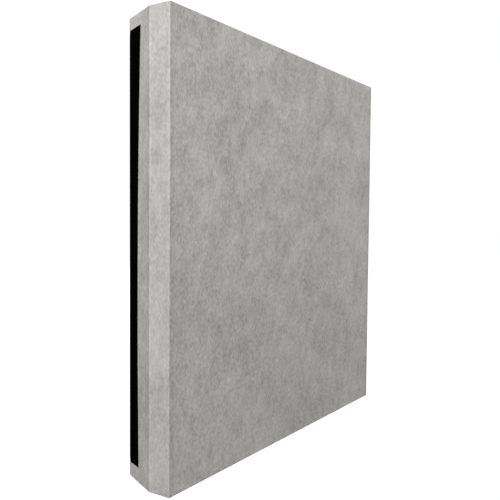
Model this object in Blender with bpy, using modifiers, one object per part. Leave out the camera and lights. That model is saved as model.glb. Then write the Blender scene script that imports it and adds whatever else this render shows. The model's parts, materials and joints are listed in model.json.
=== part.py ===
"""A fabric-wrapped bass trap.

A timber frame with bevelled and vented side boards holds a mineral wool core. A grey face cloth wraps the front, the
bevels, the sides and both ends, black cloth covers the vents and the back, and two hangers with swinging rings are
screwed to the upper rail.

Metres, +Z up. X runs across the width, the front faces -Y, and the origin is the middle of the bottom face.
"""

import math

import bmesh
import bpy
from mathutils import Matrix, Vector

# Overall size, over the face cloth
WIDTH = 0.9144
HEIGHT = 1.2192
DEPTH = 0.1651

# Bevel along both long front edges, measured on the face cloth
BEVEL_DEPTH = 0.058
BEVEL_INSET = 0.023

# Slot in the face cloth of each side, open to the back
SLOT_DEPTH = 0.050
SLOT_MARGIN = 0.032

# Gap between pieces that touch, and between a soft piece and what holds it
GAP = 0.0003
SOFT_GAP = 0.0005

# Cloth and wadding
FACE_CLOTH = 0.0012
BLACK_CLOTH = 0.0006
HEM_HEIGHT = 0.040
WADDING = 0.004

# Timber
SIDE_BOARD = 0.028
END_BOARD = 0.018
RAIL_HEIGHT = 0.045
RAIL_END_DISTANCE = 0.250
BRACE_LEG = 0.120
BRACE_THICKNESS = 0.012

# Vents routed through the side boards behind the slots
VENT_LIP = 0.006
VENT_BACK_STRIP = 0.012
VENT_WEB = 0.060
VENT_CORNER = 0.006

# Mineral wool slabs
SLAB_THICKNESS = 0.050
SLAB_WIDTH = 0.610

# Countersunk screws of the frame
FRAME_SCREW_RADIUS = 0.0020
FRAME_SCREW_LENGTH = 0.050
FRAME_SCREW_HEAD = 0.0040
FRAME_SCREW_EDGE = 0.012
SCREWS_PER_CORNER = 3

# Ring hangers
HANGER_SPACING = 0.600
PIVOT_ABOVE_RAIL = 0.020
RING_WIRE = 0.0014
RING_INSIDE_WIDTH = 0.020
RING_DROP = 0.017
RING_CORNER = 0.003
STRAP_WIDTH = 0.015
STRAP_THICKNESS = 0.0010
STRAP_LENGTH = 0.039
STRAP_CORNER = 0.004
BORE_CLEARANCE = 0.00035

# Pan head screws of the hangers, and how far below the pivot they sit
HANGER_SCREW_RADIUS = 0.0016
HANGER_SCREW_LENGTH = 0.022
HANGER_SCREW_HEAD = 0.0035
HANGER_SCREW_HEAD_HEIGHT = 0.0020
HANGER_SCREW_DROPS = {"upper": 0.0235, "lower": 0.0340}

# Wall pads on the back
PAD_RADIUS = 0.011
PAD_FACE_RADIUS = 0.009
PAD_HEIGHT = 0.008
PAD_SIDE_DISTANCE = 0.050
PAD_END_DISTANCE = 0.070

# Fineness of round shapes
TURN_STEPS = 16
BORE_STEPS = 24
ARC_STEPS = 4
WIRE_RESOLUTION = 2

# The cutters reach this far past the faces that they open
CUT_PAST = 0.004

# Points of one piece that lie closer than this are one point
MERGE_DISTANCE = 0.00001

FRONT = -DEPTH / 2
BACK = DEPTH / 2
HALF_WIDTH = WIDTH / 2
SLOT_FRONT = BACK - SLOT_DEPTH

# The frame's outer faces lie this far inside the face cloth's outer faces
SKIN = FACE_CLOTH + GAP
FRAME_FRONT = FRONT + SKIN
FRAME_BACK = BACK - SKIN
INNER_X = HALF_WIDTH - SKIN - SIDE_BOARD
INNER_LOW = SKIN + END_BOARD
INNER_HIGH = HEIGHT - SKIN - END_BOARD

# The black cloth lies on the frame too, and is thinner than the face cloth
BLACK_INSET = SKIN - GAP - BLACK_CLOTH
BLACK_BACK = BACK - BLACK_INSET

FRONT_LAYER = FRAME_FRONT + WADDING + SOFT_GAP
REAR_LAYER = FRONT_LAYER + SLAB_THICKNESS + SOFT_GAP
SCRIM_FRONT = REAR_LAYER + SLAB_THICKNESS + SOFT_GAP
RAIL_FRONT = SCRIM_FRONT + BLACK_CLOTH + GAP
RAIL_MIDDLE = (RAIL_FRONT + FRAME_BACK) / 2
RAIL_HEIGHTS = {
    "lower": RAIL_END_DISTANCE,
    "middle": HEIGHT / 2,
    "upper": HEIGHT - RAIL_END_DISTANCE,
}

STRAP_BACK = BLACK_BACK + GAP
STRAP_FACE = STRAP_BACK + STRAP_THICKNESS
KNUCKLE_BORE = RING_WIRE + BORE_CLEARANCE
KNUCKLE_RADIUS = KNUCKLE_BORE + STRAP_THICKNESS
PIVOT_Y = STRAP_BACK + KNUCKLE_RADIUS
PIVOT_Z = RAIL_HEIGHTS["upper"] + PIVOT_ABOVE_RAIL

SIDES = {"left": -1, "right": 1}
ENDS = {"bottom": -1, "top": 1}


def clear_scene():
    """Empties the scene that Blender starts with."""
    for obj in list(bpy.data.objects):
        bpy.data.objects.remove(obj, do_unlink=True)


def new_collection(name):
    """A collection linked to the scene."""
    collection = bpy.data.collections.new(name)
    bpy.context.scene.collection.children.link(collection)
    return collection


def new_material(name, colour, roughness, metallic=0.0):
    """A plain finish: linear colour, roughness and metallic value."""
    material = bpy.data.materials.new(name)
    material.use_nodes = True
    shader = material.node_tree.nodes["Principled BSDF"]
    shader.inputs["Base Color"].default_value = (*colour, 1.0)
    shader.inputs["Roughness"].default_value = roughness
    shader.inputs["Metallic"].default_value = metallic
    return material


def link_mesh(name, mesh, collection, material):
    """An object of the collection that holds the mesh."""
    obj = bpy.data.objects.new(name, mesh)
    collection.objects.link(obj)
    if material:
        mesh.materials.append(material)
    return obj


def mesh_from(name, bm):
    """A mesh from a bmesh, which is freed."""
    mesh = bpy.data.meshes.new(name)
    bm.to_mesh(mesh)
    bm.free()
    return mesh


def as_cutter(obj):
    """Marks an object as a helper that only cuts others."""
    obj.hide_render = True
    obj.display_type = "WIRE"
    return obj


def cut(obj, cutters):
    """Takes the cutters out of the object, all at once."""
    group = bpy.data.collections.new("cutters_of_" + obj.name)
    for cutter in cutters:
        group.objects.link(cutter)
    modifier = obj.modifiers.new("cut", "BOOLEAN")
    modifier.operation = "DIFFERENCE"
    modifier.solver = "EXACT"
    modifier.operand_type = "COLLECTION"
    modifier.collection = group


def box(name, low, high, collection, material=None):
    """A box between two opposite corners, with its origin at its middle."""
    low = Vector(low)
    high = Vector(high)
    bm = bmesh.new()
    bmesh.ops.create_cube(bm, size=1.0, matrix=Matrix.Diagonal((*(high - low), 1.0)))
    obj = link_mesh(name, mesh_from(name, bm), collection, material)
    obj.location = (low + high) / 2
    return obj


def round_edges(obj, radius, keep):
    """Rounds the edges that the test keep, given their two ends, picks."""
    bm = bmesh.new()
    bm.from_mesh(obj.data)
    edges = [edge for edge in bm.edges if keep(*(vert.co for vert in edge.verts))]
    bmesh.ops.bevel(
        bm,
        geom=edges,
        offset=radius,
        segments=ARC_STEPS,
        profile=0.5,
        affect="EDGES",
        material=-1,
    )
    bm.to_mesh(obj.data)
    bm.free()


def prism(name, outlines, thickness, matrix, collection, material=None):
    """Flat outlines, the outer one and any holes, extruded to a thickness and placed by the matrix, as a mesh."""
    curve = bpy.data.curves.new(name, "CURVE")
    curve.dimensions = "2D"
    curve.fill_mode = "BOTH"
    curve.extrude = thickness / 2
    for outline in outlines:
        spline = curve.splines.new("POLY")
        spline.points.add(len(outline) - 1)
        for point, (x, y) in zip(spline.points, outline):
            point.co = (x, y, 0.0, 1.0)
        spline.use_cyclic_u = True
    source = bpy.data.objects.new(name + "_outline", curve)
    collection.objects.link(source)
    source.matrix_world = matrix
    bpy.context.view_layer.update()
    graph = bpy.context.evaluated_depsgraph_get()
    mesh = bpy.data.meshes.new_from_object(source.evaluated_get(graph))
    mesh.name = name
    bm = bmesh.new()
    bm.from_mesh(mesh)
    bmesh.ops.remove_doubles(bm, verts=bm.verts, dist=MERGE_DISTANCE)
    bmesh.ops.recalc_face_normals(bm, faces=bm.faces)
    bm.to_mesh(mesh)
    bm.free()
    obj = link_mesh(name, mesh, collection, material)
    obj.matrix_world = source.matrix_world
    bpy.data.objects.remove(source, do_unlink=True)
    return obj


def turned(name, profile, direction, location, collection, material=None):
    """A turned piece whose top points along the direction.

    The profile is a list of (radius, height) from the top on the axis, down the outer side, to the bottom on the axis.
    """
    bm = bmesh.new()
    verts = [bm.verts.new((radius, 0.0, height)) for radius, height in profile]
    for first, second in zip(verts, verts[1:]):
        bm.edges.new((first, second))
    obj = link_mesh(name, mesh_from(name, bm), collection, material)
    screw = obj.modifiers.new("turn", "SCREW")
    screw.axis = "Z"
    screw.steps = TURN_STEPS
    screw.render_steps = TURN_STEPS
    screw.use_merge_vertices = True
    screw.merge_threshold = MERGE_DISTANCE
    screw.use_smooth_shade = True
    obj.rotation_mode = "QUATERNION"
    obj.rotation_quaternion = Vector(direction).to_track_quat("Z", "Y")
    obj.location = location
    return obj


def cloth_shell(name, bm, thickness, collection, material):
    """An open sheet, given as its outer face, thickened towards the middle of the trap."""
    bmesh.ops.recalc_face_normals(bm, faces=bm.faces)
    middle = Vector((0, 0, HEIGHT / 2))
    for face in bm.faces:
        if face.normal.dot(face.calc_center_median() - middle) < 0:
            face.normal_flip()
    obj = link_mesh(name, mesh_from(name, bm), collection, material)
    solidify = obj.modifiers.new("thickness", "SOLIDIFY")
    solidify.thickness = thickness
    solidify.offset = -1.0
    solidify.use_even_offset = True
    return obj


def bevel_rear(inset):
    """Where the bevel meets the side, as a Y, on a surface that lies inset below the face cloth's outer face."""
    slope = math.hypot(BEVEL_DEPTH, BEVEL_INSET)
    return FRONT + BEVEL_DEPTH + inset * (slope - BEVEL_DEPTH) / BEVEL_INSET


def bevel_front(inset):
    """Where the bevel meets the front, as an X on the right, on a surface inset below the cloth's outer face."""
    slope = math.hypot(BEVEL_DEPTH, BEVEL_INSET)
    return HALF_WIDTH - BEVEL_INSET - inset * (slope - BEVEL_INSET) / BEVEL_DEPTH


def side_outline(inset, rear, side=1):
    """The cross-section of one side, from its rear to the front face."""
    return [
        (side * (HALF_WIDTH - inset), rear),
        (side * (HALF_WIDTH - inset), bevel_rear(inset)),
        (side * bevel_front(inset), FRONT + inset),
    ]


def wrap_outline(inset, rear):
    """The cross-section of the whole wrap, from the left side's rear round the front to the right side's rear."""
    return side_outline(inset, rear, -1) + side_outline(inset, rear)[::-1]


def vent_ranges():
    """The height range of each vent of a side board, between the board's ends and the webs at the rails."""
    edges = [SLOT_MARGIN + VENT_LIP]
    for height in RAIL_HEIGHTS.values():
        edges.append(height - VENT_WEB / 2)
        edges.append(height + VENT_WEB / 2)
    edges.append(HEIGHT - SLOT_MARGIN - VENT_LIP)
    return list(zip(edges[::2], edges[1::2]))


def frame_screw_profile():
    """A countersunk screw, from the middle of its flush head down to its tip."""
    neck = FRAME_SCREW_HEAD - FRAME_SCREW_RADIUS
    return [
        (0.0, 0.0),
        (FRAME_SCREW_HEAD, 0.0),
        (FRAME_SCREW_RADIUS, -neck),
        (FRAME_SCREW_RADIUS, FRAME_SCREW_RADIUS - FRAME_SCREW_LENGTH),
        (0.0, -FRAME_SCREW_LENGTH),
    ]


def frame_screw_hole_profile():
    """The hole for a countersunk screw, open past the board's face."""
    neck = FRAME_SCREW_HEAD - FRAME_SCREW_RADIUS
    return [
        (0.0, CUT_PAST),
        (FRAME_SCREW_HEAD + GAP, CUT_PAST),
        (FRAME_SCREW_HEAD + GAP, 0.0),
        (FRAME_SCREW_RADIUS + GAP, -neck),
        (FRAME_SCREW_RADIUS + GAP, -FRAME_SCREW_LENGTH - GAP),
        (0.0, -FRAME_SCREW_LENGTH - GAP),
    ]


def hanger_screw_profile():
    """A pan head screw; height 0 is the underside of its head."""
    edge = HANGER_SCREW_HEAD_HEIGHT / 3
    return [
        (0.0, HANGER_SCREW_HEAD_HEIGHT),
        (HANGER_SCREW_HEAD - 2 * edge, HANGER_SCREW_HEAD_HEIGHT),
        (HANGER_SCREW_HEAD, edge),
        (HANGER_SCREW_HEAD, 0.0),
        (HANGER_SCREW_RADIUS, 0.0),
        (HANGER_SCREW_RADIUS, HANGER_SCREW_RADIUS - HANGER_SCREW_LENGTH),
        (0.0, -HANGER_SCREW_LENGTH),
    ]


def hanger_screw_hole_profile():
    """The hole for a pan head screw, open past the strap's face."""
    return [
        (0.0, CUT_PAST),
        (HANGER_SCREW_RADIUS + GAP, CUT_PAST),
        (HANGER_SCREW_RADIUS + GAP, -HANGER_SCREW_LENGTH - GAP),
        (0.0, -HANGER_SCREW_LENGTH - GAP),
    ]


def frame_screw_places():
    """The middle of each frame screw's head and its side, by name."""
    first = FRONT + BEVEL_DEPTH + FRAME_SCREW_EDGE
    last = FRAME_BACK - FRAME_SCREW_EDGE
    pitch = (last - first) / (SCREWS_PER_CORNER - 1)
    board_middles = {"bottom": SKIN + END_BOARD / 2, "top": HEIGHT - SKIN - END_BOARD / 2}
    places = {}
    for side_name, side in SIDES.items():
        x = side * (HALF_WIDTH - SKIN - GAP)
        for end_name, height in board_middles.items():
            for number in range(SCREWS_PER_CORNER):
                name = f"corner_screw_{end_name}_{side_name}_{number + 1}"
                places[name] = (side, (x, first + number * pitch, height))
        for rail_name, height in RAIL_HEIGHTS.items():
            places[f"rail_screw_{rail_name}_{side_name}"] = (side, (x, RAIL_MIDDLE, height))
    return places


def make_frame_screws(parts, cutters, steel):
    """The frame screws, and a cutter for the hole of each."""
    holes = []
    for name, (side, place) in frame_screw_places().items():
        turned(name, frame_screw_profile(), (side, 0, 0), place, parts, steel)
        hole = turned(
            name + "_hole", frame_screw_hole_profile(), (side, 0, 0), place, cutters
        )
        holes.append(as_cutter(hole))
    return holes


def named(objects, *words):
    """The objects whose names hold every one of the words."""
    return [obj for obj in objects if all(word in obj.name for word in words)]


def make_side_board(side_name, side, holes, parts, cutters, timber):
    """A side board with its bevel, its vents and its screw holes."""
    outline = side_outline(SKIN, FRAME_BACK, side)
    outline.append((side * INNER_X, FRAME_FRONT))
    outline.append((side * INNER_X, FRAME_BACK))
    middle = Matrix.Translation((0, 0, HEIGHT / 2))
    board = prism(
        f"side_board_{side_name}", [outline], HEIGHT - 2 * SKIN, middle, parts, timber
    )
    left, right = sorted((side * (INNER_X - CUT_PAST), side * (HALF_WIDTH + CUT_PAST)))
    vents = []
    for number, (low, high) in enumerate(vent_ranges(), 1):
        vent = box(
            f"vent_{side_name}_{number}",
            (left, SLOT_FRONT + VENT_LIP, low),
            (right, FRAME_BACK - VENT_BACK_STRIP, high),
            cutters,
        )
        round_edges(vent, VENT_CORNER, lambda first, second: first.x != second.x)
        vents.append(as_cutter(vent))
    cut(board, vents + named(holes, side_name))


def make_end_board(end_name, low, holes, parts, timber):
    """The top or bottom board, between the side boards."""
    board = box(
        f"{end_name}_board",
        (GAP - INNER_X, FRAME_FRONT, low),
        (INNER_X - GAP, FRAME_BACK, low + END_BOARD),
        parts,
        timber,
    )
    cut(board, named(holes, "corner_screw", end_name))


def make_rail(rail_name, height, holes, parts, timber):
    """A cross rail on edge between the side boards, from the core to the back."""
    rail = box(
        f"cross_rail_{rail_name}",
        (GAP - INNER_X, RAIL_FRONT, height - RAIL_HEIGHT / 2),
        (INNER_X - GAP, FRAME_BACK, height + RAIL_HEIGHT / 2),
        parts,
        timber,
    )
    cut(rail, named(holes, "rail_screw", rail_name))
    return rail


def make_brace(name, side, end, parts, plywood):
    """A triangular brace in a back corner of the frame."""
    corner_x = side * (INNER_X - GAP)
    corner_z = INNER_HIGH - GAP if end > 0 else INNER_LOW + GAP
    outline = [
        (corner_x, corner_z),
        (corner_x - side * BRACE_LEG, corner_z),
        (corner_x, corner_z - end * BRACE_LEG),
    ]
    back = Matrix.Translation((0, FRAME_BACK - BRACE_THICKNESS / 2, 0))
    upright = back @ Matrix.Rotation(math.pi / 2, 4, "X")
    prism(name, [outline], BRACE_THICKNESS, upright, parts, plywood)


def make_frame(parts, cutters, timber, plywood, steel):
    """The timber frame with its screws. It returns the upper rail, which takes the hangers."""
    holes = make_frame_screws(parts, cutters, steel)
    for side_name, side in SIDES.items():
        make_side_board(side_name, side, holes, parts, cutters, timber)
        for end_name, end in ENDS.items():
            make_brace(f"corner_brace_{end_name}_{side_name}", side, end, parts, plywood)
    make_end_board("bottom", SKIN, holes, parts, timber)
    make_end_board("top", INNER_HIGH, holes, parts, timber)
    rails = {}
    for rail_name, height in RAIL_HEIGHTS.items():
        rails[rail_name] = make_rail(rail_name, height, holes, parts, timber)
    return rails["upper"]


def make_core(parts, wool, wadding, scrim):
    """Wadding, two layers of slabs with staggered joints, and the scrim behind them."""
    low = INNER_LOW + SOFT_GAP
    high = INNER_HIGH - SOFT_GAP
    edge = INNER_X - SOFT_GAP

    def layer(name, ends, front, thickness, material):
        left, right = sorted(ends)
        box(name, (left, front, low), (right, front + thickness, high), parts, material)

    layer("front_wadding", (-edge, edge), FRAME_FRONT, WADDING, wadding)
    for row, front, side in (("front", FRONT_LAYER, -1), ("rear", REAR_LAYER, 1)):
        joint = side * (edge - SLAB_WIDTH)
        wide = (side * edge, joint)
        narrow = (joint - side * SOFT_GAP, -side * edge)
        layer(f"core_slab_{row}_wide", wide, front, SLAB_THICKNESS, wool)
        layer(f"core_slab_{row}_narrow", narrow, front, SLAB_THICKNESS, wool)
    layer("core_scrim", (-edge, edge), SCRIM_FRONT, BLACK_CLOTH, scrim)


def make_face_cloth(parts, cutters, cloth):
    """The grey cloth round the front, the bevels and the sides, notched at the slots."""
    bm = bmesh.new()
    verts = [bm.verts.new((x, y, 0.0)) for x, y in wrap_outline(0.0, BACK)]
    edges = [bm.edges.new(pair) for pair in zip(verts, verts[1:])]
    raised = bmesh.ops.extrude_edge_only(bm, edges=edges)["geom"]
    top = [item for item in raised if isinstance(item, bmesh.types.BMVert)]
    bmesh.ops.translate(bm, verts=top, vec=(0, 0, HEIGHT))
    face_cloth = cloth_shell("face_cloth", bm, FACE_CLOTH, parts, cloth)
    slots = []
    for side_name, side in SIDES.items():
        ends = (side * (HALF_WIDTH - FACE_CLOTH - CUT_PAST), side * (HALF_WIDTH + CUT_PAST))
        left, right = sorted(ends)
        slot = box(
            f"slot_{side_name}",
            (left, SLOT_FRONT, SLOT_MARGIN),
            (right, BACK + CUT_PAST, HEIGHT - SLOT_MARGIN),
            cutters,
        )
        slots.append(as_cutter(slot))
    cut(face_cloth, slots)


def make_cloth_fold(end_name, end, parts, cloth):
    """The grey cloth folded over the top or bottom board and hemmed down the back."""
    height = HEIGHT if end > 0 else 0.0
    bm = bmesh.new()
    verts = [bm.verts.new((x, y, height)) for x, y in wrap_outline(SKIN, BACK)]
    bmesh.ops.contextual_create(bm, geom=verts)
    bm.edges.ensure_lookup_table()
    back_edge = bm.edges.get((verts[0], verts[-1]))
    hem = bmesh.ops.extrude_edge_only(bm, edges=[back_edge])["geom"]
    low = [item for item in hem if isinstance(item, bmesh.types.BMVert)]
    bmesh.ops.translate(bm, verts=low, vec=(0, 0, -end * HEM_HEIGHT))
    cloth_shell(f"cloth_fold_{end_name}", bm, FACE_CLOTH, parts, cloth)


def make_black_cloth(parts, black):
    """The black cloth over each side's vents and over the back. It returns the back's."""
    for side_name, side in SIDES.items():
        outer = HALF_WIDTH - BLACK_INSET
        left, right = sorted((side * (outer - BLACK_CLOTH), side * outer))
        box(
            f"slot_cloth_{side_name}",
            (left, SLOT_FRONT + GAP, SLOT_MARGIN + GAP),
            (right, BLACK_BACK, HEIGHT - SLOT_MARGIN - GAP),
            parts,
            black,
        )
    return box(
        "back_cloth",
        (SKIN - HALF_WIDTH, BLACK_BACK - BLACK_CLOTH, HEM_HEIGHT + GAP),
        (HALF_WIDTH - SKIN, BLACK_BACK, HEIGHT - HEM_HEIGHT - GAP),
        parts,
        black,
    )


def ring_path():
    """The middle line of a D-shaped ring in X and Z about its pivot: a straight bar with a round drop below it."""
    leg = RING_INSIDE_WIDTH / 2 + RING_WIRE
    drop_centre = RING_DROP - leg
    quarter = math.pi / 2
    points = []
    for step in range(ARC_STEPS + 1):
        angle = quarter * step / ARC_STEPS
        x = leg - RING_CORNER + RING_CORNER * math.sin(angle)
        points.append((x, RING_CORNER * math.cos(angle) - RING_CORNER))
    drop_steps = 4 * ARC_STEPS
    for step in range(drop_steps + 1):
        angle = math.pi * step / drop_steps
        points.append((leg * math.cos(angle), -drop_centre - leg * math.sin(angle)))
    return points + [(-x, z) for x, z in points[ARC_STEPS::-1]]


def make_ring(name, x, parts, steel):
    """A D-shaped wire ring that hangs from its strap, with its origin on the pivot."""
    curve = bpy.data.curves.new(name, "CURVE")
    curve.dimensions = "3D"
    curve.bevel_depth = RING_WIRE
    curve.bevel_resolution = WIRE_RESOLUTION
    path = ring_path()
    spline = curve.splines.new("POLY")
    spline.points.add(len(path) - 1)
    for point, (across, up) in zip(spline.points, path):
        point.co = (across, 0.0, up, 1.0)
    spline.use_cyclic_u = True
    ring = bpy.data.objects.new(name, curve)
    parts.objects.link(ring)
    ring.location = (x, PIVOT_Y, PIVOT_Z)
    curve.materials.append(steel)


def strap_outline():
    """A strap seen from its side, in Y and Z about the pivot: a plate rolled at its top into a knuckle."""
    radius = KNUCKLE_RADIUS
    meeting = math.pi + math.acos((radius - STRAP_THICKNESS) / radius)
    around = 3 * math.pi - meeting
    points = [(-radius, -STRAP_LENGTH), (STRAP_THICKNESS - radius, -STRAP_LENGTH)]
    for step in range(BORE_STEPS + 1):
        angle = meeting + around * step / BORE_STEPS
        points.append((radius * math.cos(angle), radius * math.sin(angle)))
    return points


def circle(radius, steps):
    """Points of a circle about the origin."""
    angles = [2 * math.pi * step / steps for step in range(steps)]
    return [(radius * math.cos(angle), radius * math.sin(angle)) for angle in angles]


def make_strap(name, x, holes, parts, steel):
    """The strap of a hanger, whose knuckle holds the ring's bar."""
    outlines = [strap_outline(), circle(KNUCKLE_BORE, BORE_STEPS)]
    turn = Matrix(((0, 0, 1, x), (1, 0, 0, PIVOT_Y), (0, 1, 0, PIVOT_Z), (0, 0, 0, 1)))
    strap = prism(name, outlines, STRAP_WIDTH, turn, parts, steel)

    def at_bottom(first, second):
        return first.x != second.x and max(first.y, second.y) < GAP - STRAP_LENGTH

    round_edges(strap, STRAP_CORNER, at_bottom)
    cut(strap, holes)


def make_hangers(rail, back_cloth, parts, cutters, steel):
    """Two hangers on the upper rail, with the holes that their screws need in the rail and the cloth."""
    holes = []
    for side_name, side in SIDES.items():
        x = side * HANGER_SPACING / 2
        for place_name, drop in HANGER_SCREW_DROPS.items():
            name = f"hanger_screw_{place_name}_{side_name}"
            place = (x, STRAP_FACE + GAP, PIVOT_Z - drop)
            turned(name, hanger_screw_profile(), (0, 1, 0), place, parts, steel)
            hole = turned(
                name + "_hole", hanger_screw_hole_profile(), (0, 1, 0), place, cutters
            )
            holes.append(as_cutter(hole))
        own_holes = named(holes, side_name)
        make_strap(f"hanger_strap_{side_name}", x, own_holes, parts, steel)
        make_ring(f"hanger_ring_{side_name}", x, parts, steel)
    cut(rail, holes)
    cut(back_cloth, holes)


def make_wall_pads(parts, rubber):
    """Four rubber pads on the back, over the corner braces."""
    profile = [(0.0, PAD_HEIGHT), (PAD_FACE_RADIUS, PAD_HEIGHT), (PAD_RADIUS, 0.0), (0.0, 0.0)]
    heights = {"bottom": PAD_END_DISTANCE, "top": HEIGHT - PAD_END_DISTANCE}
    for side_name, side in SIDES.items():
        for end_name, height in heights.items():
            place = (side * (HALF_WIDTH - PAD_SIDE_DISTANCE), BLACK_BACK + GAP, height)
            name = f"wall_pad_{end_name}_{side_name}"
            turned(name, profile, (0, 1, 0), place, parts, rubber)


def main():
    clear_scene()
    parts = new_collection("bass_trap")
    cutters = new_collection("cutters")
    cloth = new_material("grey_cloth", (0.40, 0.39, 0.37), 0.95)
    black = new_material("black_cloth", (0.004, 0.004, 0.004), 0.95)
    scrim = new_material("core_scrim", (0.02, 0.02, 0.02), 0.9)
    timber = new_material("timber", (0.60, 0.42, 0.24), 0.6)
    plywood = new_material("plywood", (0.66, 0.50, 0.32), 0.6)
    wool = new_material("mineral_wool", (0.45, 0.36, 0.16), 0.98)
    wadding = new_material("wadding", (0.85, 0.85, 0.83), 0.98)
    screw_steel = new_material("screw_steel", (0.55, 0.52, 0.42), 0.35, 1.0)
    hanger_steel = new_material("hanger_steel", (0.62, 0.62, 0.60), 0.30, 1.0)
    rubber = new_material("rubber", (0.02, 0.02, 0.02), 0.7)

    upper_rail = make_frame(parts, cutters, timber, plywood, screw_steel)
    make_core(parts, wool, wadding, scrim)
    make_face_cloth(parts, cutters, cloth)
    for end_name, end in ENDS.items():
        make_cloth_fold(end_name, end, parts, cloth)
    back_cloth = make_black_cloth(parts, black)
    make_hangers(upper_rail, back_cloth, parts, cutters, hanger_steel)
    make_wall_pads(parts, rubber)


main()
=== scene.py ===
"""Looks of a fabric-wrapped bass trap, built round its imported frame.

One grey brushed cloth wraps the front, the bevels, the sides and both ends, and is stapled down
on the back. A black cloth closes the back and the long slots of the sides. Hangers with rings and
rubber pads finish the back, and the pieces inside get their own finishes.

Places are in metres in the frame's own axes: X runs across, the front faces -Y, and Z is up from
the bottom face.
"""

import json
import logging
import math
import random
from dataclasses import dataclass, field
from enum import Enum
from functools import cache
from typing import Callable, Iterable, Sequence, Union

import bmesh
import bpy
from bmesh.types import BMEdge, BMesh, BMFace, BMVert
from bpy.types import ID, Material, Mesh, Object
from bpy.types import Node, NodeInputs, NodeOutputs, NodeSocket, NodeTree
from mathutils import Matrix, Vector, noise


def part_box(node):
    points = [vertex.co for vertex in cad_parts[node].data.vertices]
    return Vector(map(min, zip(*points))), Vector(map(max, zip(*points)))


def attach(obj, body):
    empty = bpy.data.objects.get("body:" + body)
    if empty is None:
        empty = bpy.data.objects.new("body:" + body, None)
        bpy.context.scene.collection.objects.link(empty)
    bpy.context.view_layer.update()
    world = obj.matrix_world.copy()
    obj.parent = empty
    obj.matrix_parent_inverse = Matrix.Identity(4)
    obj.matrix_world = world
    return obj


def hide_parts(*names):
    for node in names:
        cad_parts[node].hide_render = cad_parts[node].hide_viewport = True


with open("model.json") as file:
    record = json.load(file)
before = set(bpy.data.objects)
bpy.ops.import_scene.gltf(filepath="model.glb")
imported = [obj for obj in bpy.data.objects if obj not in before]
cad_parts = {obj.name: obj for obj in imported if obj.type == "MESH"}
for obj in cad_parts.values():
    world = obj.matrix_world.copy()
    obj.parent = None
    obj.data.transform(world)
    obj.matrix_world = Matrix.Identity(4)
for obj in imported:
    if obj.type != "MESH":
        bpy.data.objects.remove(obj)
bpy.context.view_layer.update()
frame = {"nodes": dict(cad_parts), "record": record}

LOG = logging.getLogger("bass_trap")

# The gap that the frame leaves between pieces that touch
FRAME_GAP = 0.0003

# Points of one piece that lie closer than this are one point
MERGE_DISTANCE = 0.00001

# Smooth shading stops at edges that turn more than this
SHARP_ANGLE = math.radians(40)

# A cloth's cut edges are rounded by a share of its thickness, where they turn more than this
RAW_EDGE_SHARE = 0.4
RAW_EDGE_ANGLE = math.radians(65)

# How much of a face's normal lies along an axis, for a face square to it and for one near it
SQUARE_ON = 0.9
TOWARDS = 0.7

# The stretch of values that most of a noise lies in, and a wider one
SPREAD = (0.3, 0.7)
WIDE_SPREAD = (0.2, 0.8)

# A glow a little over 1 shows as plain white
SEEN_WHITE = 1.02

# The nodes that the cloths are stretched over
RAILS = ("cross_rail_lower", "cross_rail_middle", "cross_rail_upper")

Pair = tuple[float, float]
Factors = tuple[float, ...]
Colour = tuple[float, float, float]
Value = Union[NodeSocket, float, Sequence[float], Vector]
FlatPlace = Callable[[Vector], Pair]


class Named(Enum):
    """A choice whose name is a word in the names of pieces."""

    @property
    def word(self) -> str:
        """The choice's word."""
        return self.name.lower()


class Side(Named):
    """A side of the trap, as the sign of its X."""

    LEFT = -1
    RIGHT = 1


class End(Named):
    """An end of the trap, as the sign of its Z about the middle."""

    BOTTOM = -1
    TOP = 1


class Level(Named):
    """One of a hanger's two screws, as a factor in the turn that its recess was left at."""

    UPPER = 1
    LOWER = -2


class Grain(Enum):
    """The axis that a board's grain runs along, as the turn that brings it upright."""

    UPRIGHT = (0.0, 0.0, 0.0)
    ACROSS = (0.0, math.pi / 2, 0.0)


class Follows(Enum):
    """What a pattern follows, as the name of its coordinates."""

    PIECE = "Object"
    CLOTH = "UV"
    NORMAL = "Normal"


class Axis(Enum):
    """An axis of the frame."""

    X = Vector((1, 0, 0))
    Y = Vector((0, 1, 0))
    Z = Vector((0, 0, 1))


def srgb(red: float, green: float, blue: float) -> Colour:
    """The linear colour of an sRGB colour.

    Args:
        red: Red, 0 to 255.
        green: Green, 0 to 255.
        blue: Blue, 0 to 255.

    Returns:
        The three linear values, 0 to 1.
    """

    def linear(value: float) -> float:
        """One channel, by the sRGB curve."""
        share = value / 255
        return share / 12.92 if share <= 0.04045 else ((share + 0.055) / 1.055) ** 2.4

    return linear(red), linear(green), linear(blue)


GREY_DUST = srgb(120, 116, 108)


def scaled(colour: Colour, share: float) -> Colour:
    """The colour made lighter or darker by a share."""
    return tuple(channel * share for channel in colour)


def smooth_step(value: float, low: float, high: float) -> float:
    """A smooth rise from 0 at low to 1 at high, where low may be the larger.

    Args:
        value: Where on the rise.
        low: Where the rise starts.
        high: Where it ends.

    Returns:
        The height of the rise, 0 to 1.
    """
    share = max(0.0, min(1.0, (value - low) / (high - low)))
    return share * share * (3 - 2 * share)


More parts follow.
